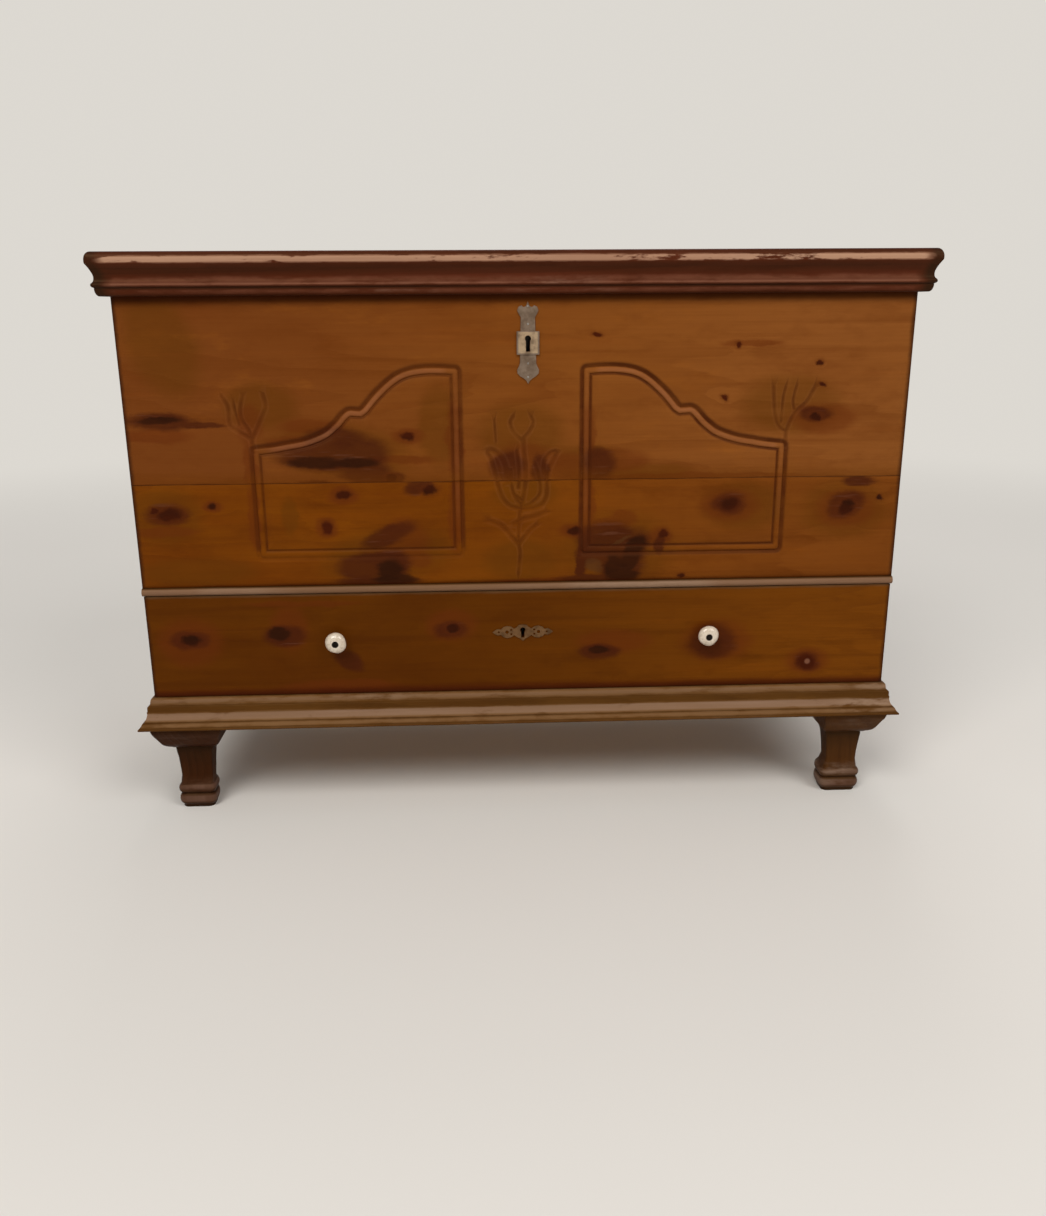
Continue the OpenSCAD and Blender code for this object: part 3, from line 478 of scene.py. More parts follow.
LOWER_PATCHES = {
    "brown": [(4, 500, 50, 24), (-200, 410, 100, 44, -10), (140, 415, 90, 56), (0, 400, 60, 34),
        (330, 476, 66, 36), (-480, 390, 90, 22), (480, 470, 70, 46), (-520, 474, 56, 42),
        (-340, 470, 12, 30)],
    "red": [(78, 444, 26, 12), (204, 430, 20, 18), (150, 462, 20, 12), (126, 452, 36, 10),
        (-153, 402, 20, 14), (-178, 450, 20, 16), (283, 476, 7, 16), (20, 368, 60, 5), (308, 478, 46, 26),
        (483, 470, 48, 30), (-176, 430, 40, 34), (-449, 486, 18, 8), (-260, 500, 24, 14),
        (-286, 454, 18, 16), (-97, 470, 12, 60), (97, 480, 12, 60), (-391, 470, 10, 50), (-520, 450, 50, 8)],
    "stain": [(-197, 440, 44, 15, -22), (-240, 391, 36, 20), (-212, 404, 46, 14), (-192, 391, 26, 27),
        (-215, 371, 66, 7), (126, 434, 48, 22), (100, 416, 20, 26), (134, 414, 42, 26),
        (165, 412, 22, 36, 34), (148, 386, 38, 24), (88, 390, 9, 24), (308, 480, 26, 17),
        (483, 476, 30, 20, -20), (-516, 476, 33, 17), (500, 512, 26, 8), (-150, 512, 22, 12, -20),
        (206, 420, 9, 14), (110, 370, 62, 6)],
    "grey": [(107, 390, 14, 11, 30), (146, 427, 18, 3.5, -32)],
    "dark": [(171, 420, 15, 18, 30), (136, 388, 15, 22, 14), (152, 376, 26, 12), (161, 398, 13, 32, 32),
        (-196, 384, 21, 21, 24), (-190, 373, 34, 8)]}
DRAWER_KNOTS = [
    (-500, 284, 15, 8), (-107, 296, 9, 6), (441, 230, 13, 12)]
DRAWER_PATCHES = {
    "red": [(-107, 300, 40, 26), (-350, 300, 30, 36), (140, 270, 60, 20), (441, 232, 36, 22),
        (300, 268, 56, 34), (-280, 206, 90, 12), (-500, 280, 50, 40), (-330, 338, 90, 5)],
    "stain": [(-358, 288, 34, 18), (292, 266, 38, 30), (-264, 247, 27, 14, 30), (-107, 292, 26, 14),
        (-500, 284, 28, 15), (116, 254, 34, 13), (441, 230, 21, 17)],
    "dark": [(-366, 292, 16, 11), (441, 230, 12, 11), (116, 256, 15, 7)]}
DRAWER_EYES = [(442, 231, 4.5, 4.5)]

# Under the lid the upper board carries painted shadow with grime
pine_upper = wood("pine_front_upper", AMBER, seed=3.1, knots=UPPER_KNOTS, patches=UPPER_PATCHES,
                  bands=((519, 26, 0.45, (0.12, 0.03, 0.001)), (519, 1.8, 0.5, DIRT_AND_SHADE)), edges=0.8,
                  covered=(763, 779, 0.9), bare_inside=True, tone_left=(0.152, 0.042, 0.0072),
                  tone_right=(0.215, 0.07, 0.014))
# The band at 364 mm is painted shade above the waist bead, the one at 519 mm the dark joint
pine_lower = wood("pine_front_lower", OLIVE_AMBER, seed=8.4, knots=LOWER_KNOTS, patches=LOWER_PATCHES,
                  bands=((519, 1.2, 0.4, DIRT_AND_SHADE), (364, 8, 0.9, DIRT_AND_SHADE)), edges=0.8, bare_inside=True,
                  tone_right=(0.172, 0.048, 0.0058))
# Along the lower edge a dark red band with grime and painted shade, along the top edge a painted highlight
# under the bead
pine_drawer = wood("pine_drawer_front", DARK_AMBER_AND_SHADE, seed=5.7, knots=DRAWER_KNOTS, patches=DRAWER_PATCHES,
                   bands=((198, 12, 0.7, (0.06, 0.007, 0.0012)), (193, 13, 0.92, DIRT_AND_SHADE),
                          (354, 6, 0.75, (0.145, 0.078, 0.036))),
                   eyes=DRAWER_EYES, edges=0.8, bare_inside=True, tone_right=(0.15, 0.042, 0.0022))
pine_side = wood("pine_side", SIDE, grain="Y", seed=1.3, scattered=0.35, bare_inside=True, roughness=0.58,
                 specular=0.04, gloss=0.03)
pine_lid = wood("pine_lid", RED_STAIN, seed=2.2, scattered=0.3, worn_and_lit=PALE_WEAR_AND_HIGHLIGHT, roughness=0.4, chipped=1.15,
                bare_under=True)
pine_skirt = wood("pine_lid_moulding", RED_STAIN, seed=6.6, scattered=0.2, worn_and_lit=PINK_WEAR_AND_HIGHLIGHT)
pine_skirt_side = wood("pine_lid_moulding_side", RED_STAIN, grain="Y", seed=7.9, scattered=0.2,
                       worn_and_lit=PINK_WEAR_AND_HIGHLIGHT)
pine_waist = wood("pine_waist", BROWN_STAIN, seed=4.4, scattered=0.1, worn_and_lit=SAND_WEAR_AND_HIGHLIGHT, chipped=0.2)
pine_base = wood("pine_base_moulding", BROWN_STAIN, seed=9.3, scattered=0.25, worn_and_lit=DUSTY_WEAR_AND_HIGHLIGHT)
pine_base_side = wood("pine_base_moulding_side", BROWN_STAIN, grain="Y", seed=2.7, scattered=0.25,
                      worn_and_lit=DUSTY_WEAR_AND_HIGHLIGHT)
pine_foot = wood("pine_foot", FOOT_STAIN, grain="Z", seed=0.6, scattered=0.2, worn_and_lit=FOOT_WEAR_AND_HIGHLIGHT, chipped=0.45,
                 tone_right=(0.07, 0.025, 0.006))
pine_back = wood("pine_back", BACK, seed=1.9, scattered=0.5, roughness=0.8, fade=0.22, bump=0.5,
                 bands=[(joint, 2.2, 0.9, (0.022, 0.012, 0.006)) for joint in (370, 593)])
pine_inner = wood("pine_inner", RAW, seed=3.7, scattered=0.45, roughness=0.75, bump=0.4)
pine_inner_side = wood("pine_inner_side", RAW, grain="Y", seed=5.2, scattered=0.3, roughness=0.75, bump=0.4)
pewter = metal("pewter", (0.245, 0.178, 0.128), (0.118, 0.074, 0.045), 0.5, 0.75,
               (PLATE_X, KEY_Z - 5.5 * MM, 13.4 * MM, 14.4 * MM, (0.49, 0.35, 0.218)))
bronze = metal("bronze", (0.175, 0.088, 0.034), (0.065, 0.032, 0.012), 0.5, 0.75)
steel = metal("bolt_steel", (0.42, 0.4, 0.37), (0.16, 0.12, 0.09), 0.42)
iron = metal("iron", (0.085, 0.075, 0.066), (0.035, 0.024, 0.018), 0.55)
black_iron = metal("black_iron", (0.02, 0.016, 0.013), (0.01, 0.007, 0.005), 0.7)
porcelain = glaze("porcelain")


# Mesh helpers

SHARP_ANGLE = math.radians(38)


class Skin:
    """A mesh in the making, whose points carry one number for each named layer."""

    def __init__(self, *layers):
        self.bm = bmesh.new()
        self.layers = [self.bm.verts.layers.float.new(name) for name in layers]

    def paint(self, v, *values):
        for layer, value in zip(self.layers, values):
            v[layer] = value

    def point(self, place, *values):
        v = self.bm.verts.new(place)
        self.paint(v, *values)
        return v

    def bridge(self, rows, closed=True):
        """Four-sided faces between rows of points."""
        count = len(rows[0])
        for a, b in zip(rows, rows[1:]):
            for i in range(count if closed else count - 1):
                j = (i + 1) % count
                self.bm.faces.new((a[i], a[j], b[j], b[i]))

    def caps(self, first, last):
        self.bm.faces.new(first)
        self.bm.faces.new(last[::-1])

    def piece(self, name, material, body, slot, nodes=(), sharp=SHARP_ANGLE):
        """Turns the mesh into a piece that rides on a body and stands for the named nodes."""
        bmesh.ops.recalc_face_normals(self.bm, faces=self.bm.faces)
        for face in self.bm.faces:
            face.smooth = True
        for edge in self.bm.edges:
            edge.smooth = len(edge.link_faces) == 2 and edge.calc_face_angle(0.0) < sharp
        mesh = bpy.data.meshes.new(name)
        self.bm.to_mesh(mesh)
        self.bm.free()
        piece = bpy.data.objects.new(name, mesh)
        bpy.context.scene.collection.objects.link(piece)
        mesh.materials.append(material)
        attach(piece, body)
        if nodes:
            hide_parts(*nodes)


def arc(cx, cz, rx, rz, start, end, steps=10):
    """Points of an elliptical arc, angles in degrees."""
    angles = [math.radians(start + (end - start) * i / steps) for i in range(steps + 1)]
    return [(cx + rx * math.cos(a), cz + rz * math.sin(a)) for a in angles]


def spaced(points, step, closed=False):
    """The same line with extra points, none further apart than step."""
    out = []
    for a, b in zip(points, points[1:] + points[:1] * closed):
        a, b = Vector(a), Vector(b)
        parts = max(1, math.ceil((b - a).length / step))
        out += [a.lerp(b, i / parts) for i in range(parts)]
    return out if closed else out + [Vector(points[-1])]


def wear_and_shading_at(table, height):
    """Wear with painted highlight, and grime with painted shade, at a height, from a table of (height, wear,
    grime) in millimetres.
    """
    heights, wear_and_highlight, grime_and_shade = zip(*table)
    return float(np.interp(height / MM, heights, wear_and_highlight)), float(np.interp(height / MM, heights, grime_and_shade))


def wobble(place, size, scale):
    return size * noise.noise(Vector(place) * scale)


def curve(*points, steps=6):
    """A smooth line through a few points given in millimetres."""
    pts = [Vector((x * MM, z * MM)) for x, z in points]
    pts = [2 * pts[0] - pts[1]] + pts + [2 * pts[-1] - pts[-2]]
    line = []
    for a, b, c, d in zip(pts, pts[1:], pts[2:], pts[3:]):
        for i in range(steps):
            t = i / steps
            line.append(0.5 * (2 * b + (c - a) * t + (2 * a - 5 * b + 4 * c - d) * t * t
                               + (3 * b - a - 3 * c + d) * t * t * t))
    return line + [pts[-2]]


# Front boards with their routed frames and carving

# Middle line of the bead of the right-hand frame, counterclockwise from its lower inner corner
FRAME_POINTS = [(94, 414), (381.5, 414), (381.5, 565), (355, 568), (335, 571.5), (315, 575), (297, 580.5),
                (282, 587), (271, 595), (262, 603), (253.5, 612.5), (246, 618), (237, 618), (229.5, 617.5),
                (223, 622), (215, 631.5), (206.5, 641), (196, 651), (184, 661), (171, 669), (156, 674),
                (136, 676.5), (114, 676.5), (94, 675)]
# The points at which its first curve starts, and its second one
FRAME_CURVE = 2
FRAME_NOTCH = 14
FRAME_INNER, FRAME_FOOT = FRAME_POINTS[0]
FRAME_OUTER = FRAME_POINTS[1][0]
# Bead in the middle of a frame, cove outside it, and narrow groove inside it
BEAD_HALF = 4.5 * MM
BEAD_DROP = 0.6 * MM
BEAD_ROUND = 1.04
COVE_OUT = 12 * MM
COVE_LEDGE = 0.5 * MM
GROOVE_IN = 9 * MM
GROOVE_LEDGE = 0.4 * MM
GROOVE_DEPTH = 3.4 * MM
INNER_SHARE = 0.8
EDGE_ROUND = 0.9 * MM
# The lower rail of the left frame is shallower, from this height down
RAIL_Z = 421
RAIL_FADE = -6
# Carved strokes
STROKE_DEPTH = 1.3 * MM
STROKE_WIDTH = 1.5
# Rows of mesh points across a frame in millimetres, and across a stroke in parts of its width
FRAME_LEVELS = (-9, -8, -7.2, -6.4, -5.6, -4.9, -4.4, -3.7, -2.8, -1.5, 0, 1.5, 2.8, 3.7, 4.4, 5, 6, 7, 8,
                9.2, 10.6, 12, 13)
STROKE_LEVELS = (-1.5, -1.0, -0.5, 0, 0.5, 1.0, 1.5)
# Distance of mesh points along a frame and along a stroke, and how clear the coarse grid keeps of them
FRAME_STEP = 2.6 * MM
STROKE_STEP = 1.6 * MM
GRID_CLEAR = 5 * MM
GRID_COLUMNS = 84
GRID_PITCH = 14 * MM
RIM_COLUMNS = 90
RIM_PITCH = 12 * MM
# Plain wood round the keyhole, under the escutcheon: how far below the key and how wide
PLATE_DROP = 6 * MM
PLATE_CLEAR = 22 * MM
# Slow unevenness of the planed front
PLANED = 0.12 * MM

# Folk tulip: stem, cup with curled petals, bud and leaves, then the small sprouts beside the frames.
# Each stroke is a half width in millimetres and a line.
TULIP = [
    (2.6, (-12, 612), (-16, 603), (-12, 591), (-5, 583), (1, 577)),
    (2.6, (14, 612), (17, 603), (12, 591), (6, 584), (1, 577)),
    (2.9, (3, 578), (4, 559), (6, 538), (5, 512), (1, 488)),
    (3.6, (-50, 564), (-44, 565), (-36, 561), (-29, 554), (-24, 543), (-22, 531), (-21, 518)),
    (3.0, (-50, 561), (-44, 549), (-39, 532), (-34, 511), (-28, 494), (-18, 483), (-4, 478)),
    (2.4, (-16, 535), (-15, 514), (-12, 500), (-6, 489), (0, 483)),
    (2.4, (-7, 563), (-5, 545), (-4, 526), (-5, 508)),
    (2.8, (50, 562), (41, 559), (35, 552), (32, 543), (33, 530)),
    (3.0, (52, 560), (44, 545), (38, 528), (37, 511), (36, 496), (29, 484), (14, 478), (0, 477)),
    (2.4, (20, 542), (24, 528), (27, 511), (25, 497), (14, 486), (4, 482)),
    (3.2, (-9, 496), (0, 489), (-1, 482), (-2, 474)),
    (3.4, (35, 473), (19, 467), (3, 463), (-12, 455)),
    (3.4, (-47, 461), (-31, 454), (-21, 444), (-13, 434), (-5, 425)),
    (3.0, (22, 454), (12, 446), (4, 436), (-5, 425)),
    (2.4, (-3, 474), (-5, 450), (-5, 425), (-3, 412), (-4, 398), (-6, 379)),
    (1.8, (-37, 576), (-38, 592), (-39, 607))]
SPROUTS = [
    (2.8, (-424, 645), (-416, 630), (-415, 606), (-405, 596), (-386, 584)),
    (2.6, (-394, 645), (-399, 625), (-397, 610), (-389, 596), (-386, 584)),
    (2.0, (-408, 640), (-406, 622), (-402, 604)),
    (2.8, (-366, 648), (-363, 630), (-368, 618), (-376, 601), (-385, 584)),
    (3.0, (-386, 586), (-385, 576), (-385, 566)),
    (2.6, (364, 652), (366, 629), (370, 606), (376, 593), (386, 586)),
    (2.6, (425, 650), (413, 628), (399, 615), (391, 600), (386, 586)),
    (2.0, (398, 652), (394, 632), (396, 618)),
    (2.0, (382, 650), (379, 632), (378, 600)),
    (3.0, (386, 588), (386, 577), (385, 566))]
STROKES = [(half, curve(*points)) for half, *points in TULIP + SPROUTS]


def frame_path():
    hollow = [tuple(p) for p in curve(*FRAME_POINTS[FRAME_CURVE:FRAME_NOTCH], steps=4)]
    crown = [tuple(p) for p in curve(*FRAME_POINTS[FRAME_NOTCH:], steps=4)]
    return [(x * MM, z * MM) for x, z in FRAME_POINTS[:FRAME_CURVE]] + hollow + crown


def grown(points, distance):
    """A closed counterclockwise outline moved outward."""
    out = []
    for i, point in enumerate(points):
        a = Vector(point) - Vector(points[i - 1])
        b = Vector(points[(i + 1) % len(points)]) - Vector(point)
        a, b = Vector((a.y, -a.x)).normalized(), Vector((b.y, -b.x)).normalized()
        out.append(tuple(Vector(point) + (a + b) * distance / (1 + a.dot(b))))
    return out


def nearest(points, line):
    """Distance of each point to a line of points, with numpy arrays of (x, z)."""
    best = np.full(len(points), 1e9)
    for a, b in zip(line, line[1:]):
        a, b = np.array(a), np.array(b)
        way = b - a
        t = np.clip(((points - a) @ way) / max(1e-12, way @ way), 0, 1)
        best = np.minimum(best, np.linalg.norm(points - (a + t[:, None] * way), axis=1))
    return best


def inside(points, line):
    """Which points lie inside a closed line, by counting crossings."""
    within = np.zeros(len(points), bool)
    for a, b in zip(line, line[1:]):
        spans = (a[1] > points[:, 1]) != (b[1] > points[:, 1])
        slope = (b[0] - a[0]) / (b[1] - a[1] if b[1] != a[1] else 1)
        within ^= spans & (points[:, 0] < a[0] + (points[:, 1] - a[1]) * slope)
    return within


def smooth01(t):
    t = np.clip(t, 0, 1)
    return t * t * (3 - 2 * t)


def ramp(value, start, length):
    """Goes smoothly from 0 to 1 over a length from a start, both in millimetres."""
    return smooth01((value - start * MM) / (length * MM))


def frame_relief(points):
    """Depth, cut and crest of the routed frames at each (x, z) point."""
    line = [np.array(p) for p in frame_path()]
    line.append(line[0])
    x, z = np.abs(points[:, 0]), points[:, 1]
    folded = np.column_stack([x, z])
    off = nearest(folded, line) * np.where(inside(folded, line), -1, 1)
    across = np.abs(off) / BEAD_HALF
    on_bead = np.abs(off) < BEAD_HALF
    round_top = np.sqrt(np.clip(1 - (off / (BEAD_HALF * BEAD_ROUND)) ** 2, 0, 1))
    bead = BEAD_DROP + (GROOVE_DEPTH - BEAD_DROP) * (1 - round_top)
    cove = smooth01((off - BEAD_HALF - COVE_LEDGE) / (COVE_OUT - BEAD_HALF))
    groove = smooth01((-off - BEAD_HALF - GROOVE_LEDGE) / (GROOVE_IN - BEAD_HALF))
    outer, inner = GROOVE_DEPTH * (1 - cove), INNER_SHARE * GROOVE_DEPTH * (1 - groove)
    depth = np.where(on_bead, bead, np.where(off > 0, outer, inner))

    # Dark finish with painted shade stays in the grooves, and a painted shadow fades out over the cove
    shadow = np.where(off > 0, 0.62 * (1 - ramp(off, 6.5, 6)), 0)
    beside = np.maximum(smooth01(depth / GROOVE_DEPTH * 1.7), shadow)
    cut = np.where(on_bead, smooth01((across - 0.7) / 0.3), beside)
    rail = ramp(z, RAIL_Z, RAIL_FADE) * (points[:, 0] < 0)

    # The bead is rubbed pale and painted with a highlight, most in the arch, and hardly at the left end
    low = ramp(z, FRAME_FOOT + 20, 60)
    side = ramp(x, FRAME_INNER + 8, 14) * ramp(x, FRAME_OUTER - 4, -8)
    lift = (0.16 * low + 0.6 * side * low) * (1 - 0.85 * ramp(points[:, 0], -352, -20))
    crest = np.where(on_bead, (1 - smooth01((across - 0.42) / 0.5)) * lift, 0)
    return depth * (1 - 0.45 * rail), cut * (1 - 0.75 * rail), crest


def relief(points, x0, x1, z0, z1):
    """Depth, cut and crest at each (x, z) point of a front board, with frames, carving and rounded edge."""
    depth, cut, crest = frame_relief(points)
    stroke = np.full(len(points), 1e9)
    for half, line in STROKES:
        gap = nearest(points, [np.array(p) for p in line])
        stroke = np.minimum(stroke, gap / (STROKE_WIDTH * half * MM))
    pressed = np.array([0.8 + 0.7 * noise.noise(Vector((x, 0, z)) * 55) for x, z in points])
    carved = np.clip(1 - stroke, 0, 1) * np.clip(pressed, 0.35, 1)
    cut = np.maximum(cut * (1 - 0.3 * (points[:, 0] < 0)), smooth01(carved * 1.3) * 0.6)
    # A painted highlight along the rims of the strokes
    crest = np.maximum(crest, np.clip(1 - np.abs(stroke - 1.15) / 0.35, 0, 1) * 0.2)
    depth = np.maximum(depth, smooth01(carved) * STROKE_DEPTH)
    edge = np.minimum.reduce([points[:, 0] - x0, x1 - points[:, 0], points[:, 1] - z0, z1 - points[:, 1]])
    inset = np.clip(EDGE_ROUND - edge, 0, EDGE_ROUND)
    depth = np.maximum(depth, EDGE_ROUND - np.sqrt(np.maximum(0, EDGE_ROUND ** 2 - inset ** 2)))
    return depth, cut, crest


def shape_points():
    """(x, z) points along the frames and the carved strokes."""
    pts = []
    path = frame_path()
    for level in FRAME_LEVELS:
        for p in spaced(grown(path, level * MM), FRAME_STEP, closed=True):
            pts += [(p.x, p.y), (-p.x, p.y)]
    for half, line in STROKES:
        steps = spaced([tuple(p) for p in line], STROKE_STEP)
        for i, p in enumerate(steps):
            way = (steps[min(i + 1, len(steps) - 1)] - steps[max(i - 1, 0)]).normalized()
            side = Vector((way.y, -way.x))
            pts += [tuple(p + side * d * STROKE_WIDTH * half * MM) for d in STROKE_LEVELS]
    return pts


def rows_within(low, high, pitch):
    return max(3, round((high - low) / pitch))


def field_points(pts, x0, x1, z0, z1):
    """A coarse grid of (x, z) points that keeps clear of the others."""
    inner = EDGE_ROUND * 1.02
    pts = np.array([p for p in pts if x0 + inner < p[0] < x1 - inner and z0 + inner < p[1] < z1 - inner])
    grid_x = np.linspace(x0 + inner, x1 - inner, GRID_COLUMNS)
    grid_z = np.linspace(z0 + inner, z1 - inner, rows_within(z0, z1, GRID_PITCH))
    grid = np.array([(x, z) for x in grid_x[1:-1] for z in grid_z[1:-1]])
    clear = [np.min(np.linalg.norm(pts - place, axis=1)) >= GRID_CLEAR for place in grid]
    return np.vstack([pts, grid[clear]])


def rim_points(x0, x1, z0, z1):
    """Rings of (x, z) points along the rounded outer edge, closer together where a frame crosses it."""
    leg = np.arange(-9, 13.1, 1.0) * MM
    cross = np.concatenate([s * (m * MM + w * leg) for m, w in ((FRAME_INNER, -1), (FRAME_OUTER, 1))
                            for s in (-1, 1)])
    rim_x = np.unique(np.round(np.concatenate([np.linspace(x0, x1, RIM_COLUMNS)[1:-1], cross]), 6))
    rim_z = np.linspace(z0, z1, rows_within(z0, z1, RIM_PITCH))[1:-1]
    rim = []
    for inset in (0, 0.25 * EDGE_ROUND, EDGE_ROUND):
        a, b, c, d = x0 + inset, x1 - inset, z0 + inset, z1 - inset
        rim += [(x, z) for x in rim_x for z in (c, d)] + [(x, z) for z in rim_z for x in (a, b)]
        rim += [(x, z) for x in (a, b) for z in (c, d)]
    return np.array(rim)


def keyhole_outline():
    """Round head over a straight slot, counterclockwise in (x, z)."""
    open_at = math.degrees(math.asin(KEYHOLE_SLOT / 2 / KEYHOLE_R))
    head = arc(PLATE_X, KEY_Z, KEYHOLE_R, KEYHOLE_R, -90 + open_at, 270 - open_at, 20)
    slot = [(PLATE_X + side * KEYHOLE_SLOT / 2, KEY_Z - KEYHOLE_DROP) for side in (-1, 1)]
    return [Vector(p) for p in head + slot]


def inside_keyhole(p):
    if (p - Vector((PLATE_X, KEY_Z))).length < KEYHOLE_R * 0.99:
        return True
    return abs(p.x - PLATE_X) < KEYHOLE_SLOT / 2 and KEY_Z - KEYHOLE_DROP < p.y < KEY_Z


def front_board(name, node, material, keyhole=False):
    lo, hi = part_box(node)
    board = (lo.x, hi.x, lo.z, hi.z)
    verts = [Vector(p) for p in np.vstack([field_points(shape_points(), *board), rim_points(*board)])]
    edges = []
    if keyhole:
        hole = keyhole_outline()
        middle = Vector((PLATE_X, KEY_Z - PLATE_DROP))
        verts = [v for v in verts if (v - middle).length > PLATE_CLEAR]
        start = len(verts)
        verts += hole
        edges = [(start + i, start + (i + 1) % len(hole)) for i in range(len(hole))]
    flat, _, faces, *_ = geometry.delaunay_2d_cdt(verts, edges, [], 0, 1e-6, False)
    flat = np.array([tuple(v) for v in flat])
    skin = Skin("cut", "crest")
    made = []
    for (x, z), depth, cut, crest in zip(flat, *relief(flat, *board)):
        y = Y_FRONT + depth + wobble((x, 0, z), PLANED, 26) + PLANED
        made.append(skin.point((x, y, z), cut, crest))
    for face in faces:
        middle = sum((Vector(flat[i]) for i in face), Vector((0, 0))) / len(face)
        if not (keyhole and inside_keyhole(middle)):
            skin.bm.faces.new([made[i] for i in face])
    for v in [v for v in skin.bm.verts if not v.link_faces]:
        skin.bm.verts.remove(v)

    # The edges go back to the inside, and a flat face closes them there
    rim = [e for e in skin.bm.edges if len(e.link_faces) == 1]
    out = bmesh.ops.extrude_edge_only(skin.bm, edges=rim)["geom"]
    for v in [g for g in out if isinstance(g, bmesh.types.BMVert)]:
        v.co.y = Y_INSIDE
        skin.paint(v, 0, 0)
    back = [g for g in out if isinstance(g, bmesh.types.BMEdge)]
    bmesh.ops.triangle_fill(skin.bm, use_beauty=True, use_dissolve=False, edges=back)
    skin.piece(name, material, "case", "case_wood", [node])


front_board("front_boards_upper_face", "front_board_upper", pine_upper, keyhole=True)
front_board("front_board_lower_face", "front_board_lower", pine_lower)


# Mouldings that run round the front and the sides

# How far from the mitred corners the mouldings are painted darker, and how far that fades
CORNER_DARK_REACH = 22 * MM
END_FADE = 9 * MM
# Dents where the wood is worn: how many, how common and how deep. Then waves: how many, how high, how far off
MOULDING_MARKS = (34, 0.28, 0.7 * MM, 12, 0.14 * MM, 0.05 * MM)
NOSE_MARKS = (30, 0.22, 1.1 * MM, 9, 0.2 * MM, 0.06 * MM)


def along_steps(length, step=9 * MM, end=1.2 * MM):
    count = max(2, round(length / step))
    inner = [i / count for i in range(1, count)]
    return [0.0, end / length] + inner + [1 - end / length, 1.0]


def on_run(side, t, reach, start, length):
    """(x, y) at part t of a run: the front one (side 0), or a side one (-1 or 1) from y = start."""
    if side == 0:
        return (2 * t - 1) * (HALF_W + reach), Y_FRONT - reach
    return side * (HALF_W + reach), start + t * length


def battered(side, x, y, height, wear_and_highlight, marks):
    """A place on a run, pushed in by dents and waves."""
    dents, common, deep, waves, high, off = marks
    inward = min(0.0, wobble((x, y, height), 1.0, dents) + common) * deep * wear_and_highlight
    inward += min(0.0, wobble((x, y, height * 3), high, waves) - off)
    return (x, y - inward) if side == 0 else (x + side * inward, y)


def corner_dark_at(corner):
    return min(1.0, max(0.0, (CORNER_DARK_REACH - corner) / END_FADE))


def moulding(name, node, outline, table, material, body, slot, side, end_dark=0.0):
    """A closed (reach, height) outline swept along a run, with small dents, and mitred in front."""
    outline = [tuple(p) for p in spaced(outline, 2.0 * MM, closed=True)]
    wear_and_shading = [wear_and_shading_at(table, height) for _, height in outline]
    skin = Skin("wear_and_highlight", "grime_and_shade")
    depth = Y_BACK - Y_FRONT
    rows = []
    for t in along_steps(depth if side else 2 * HALF_W):
        row = []
        for (reach, height), (wear_and_highlight, grime_and_shade) in zip(outline, wear_and_shading):
            x, y = on_run(side, t, reach, Y_FRONT - reach, depth + reach)
            corner_dark = end_dark * corner_dark_at(t * depth if side else HALF_W + reach - abs(x))
            if reach > 1.5 * MM:
                x, y = battered(side, x, y, height, wear_and_highlight, MOULDING_MARKS)
            left = 0.0 if side and t == 1.0 else wear_and_highlight * (1 - corner_dark)
            row.append(skin.point((x, y, height), left, max(grime_and_shade, corner_dark)))
        rows.append(row)
    skin.bridge(rows)
    skin.caps(rows[0], rows[-1])
    skin.piece(name, material, body, slot, [node])


# Outlines are (reach, height), and tables are (height in millimetres, wear, grime), where wear carries
# painted highlight and grime painted shade
Z_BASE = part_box("base_moulding_front")[0].z
BASE_OUTLINE = [(reach * MM, Z_BASE + up * MM) for reach, up in (
    (0, 0), (21.8, 0), (22.8, 0.5), (23, 1.5), (22.7, 2.9), (21.5, 4), (20.2, 4.8), (18.9, 7), (17.7, 9.5),
    (16.7, 10.8), (15.4, 11.4), (14.5, 12.2), (13, 14.3), (11.8, 16.8), (10.9, 19.5), (10.3, 22.2),
    (10.2, 24.4), (10.4, 25.4), (10.2, 26.6), (9.6, 27.5), (9.4, 29), (9.4, 32), (9.2, 34.2), (8.4, 35.4),
    (6.8, 36), (5.8, 36.8), (5.4, 38.2), (5.2, 41.2), (4.7, 44.2), (3.7, 46.2), (2.4, 47), (0, 47))]
BASE_TABLE = [(147, 0.1, 0.5), (149.5, 0.4, 0.2), (151, 0.3, 0.35), (152.5, 0.65, 0.05), (155, 0.8, 0.0),
              (157, 0.65, 0.1), (158.3, 0.35, 0.4), (159.8, 0.75, 0.05), (163, 1.05, 0.0), (169, 1.1, 0.0),
              (171.5, 0.8, 0.0), (173, 0.4, 0.15), (174.5, 0.15, 0.3), (178, 0.2, 0.15), (181.5, 0.15, 0.35),
              (183.5, 0.45, 0.2), (186, 0.8, 0.0), (191, 0.85, 0.0), (194, 0.6, 0.1)]
Z_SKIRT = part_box("lid_moulding_front")[0].z
SKIRT_FACE = [(LID_REACH + reach * MM, Z_SKIRT + up * MM) for reach, up in (
    (-12.4, 0), (-11, 0.5), (-9.4, 2.2), (-8.4, 4.6), (-7.8, 7.4), (-7.6, 9.4), (-7.9, 10.4), (-7.2, 11.2),
    (-5.6, 12.0), (-4.5, 13.4), (-4.3, 15.0), (-4.9, 16.6), (-6.2, 17.8), (-7.4, 19.4), (-8.1, 21.8),
    (-8.3, 24.6), (-7.9, 27.6), (-7.0, 30.4), (-5.8, 33.2), (-4.4, 36))]
SKIRT_OUTLINE = [(1 * MM, Z_SKIRT), *SKIRT_FACE, (1 * MM, Z_SKIRT + 36 * MM)]
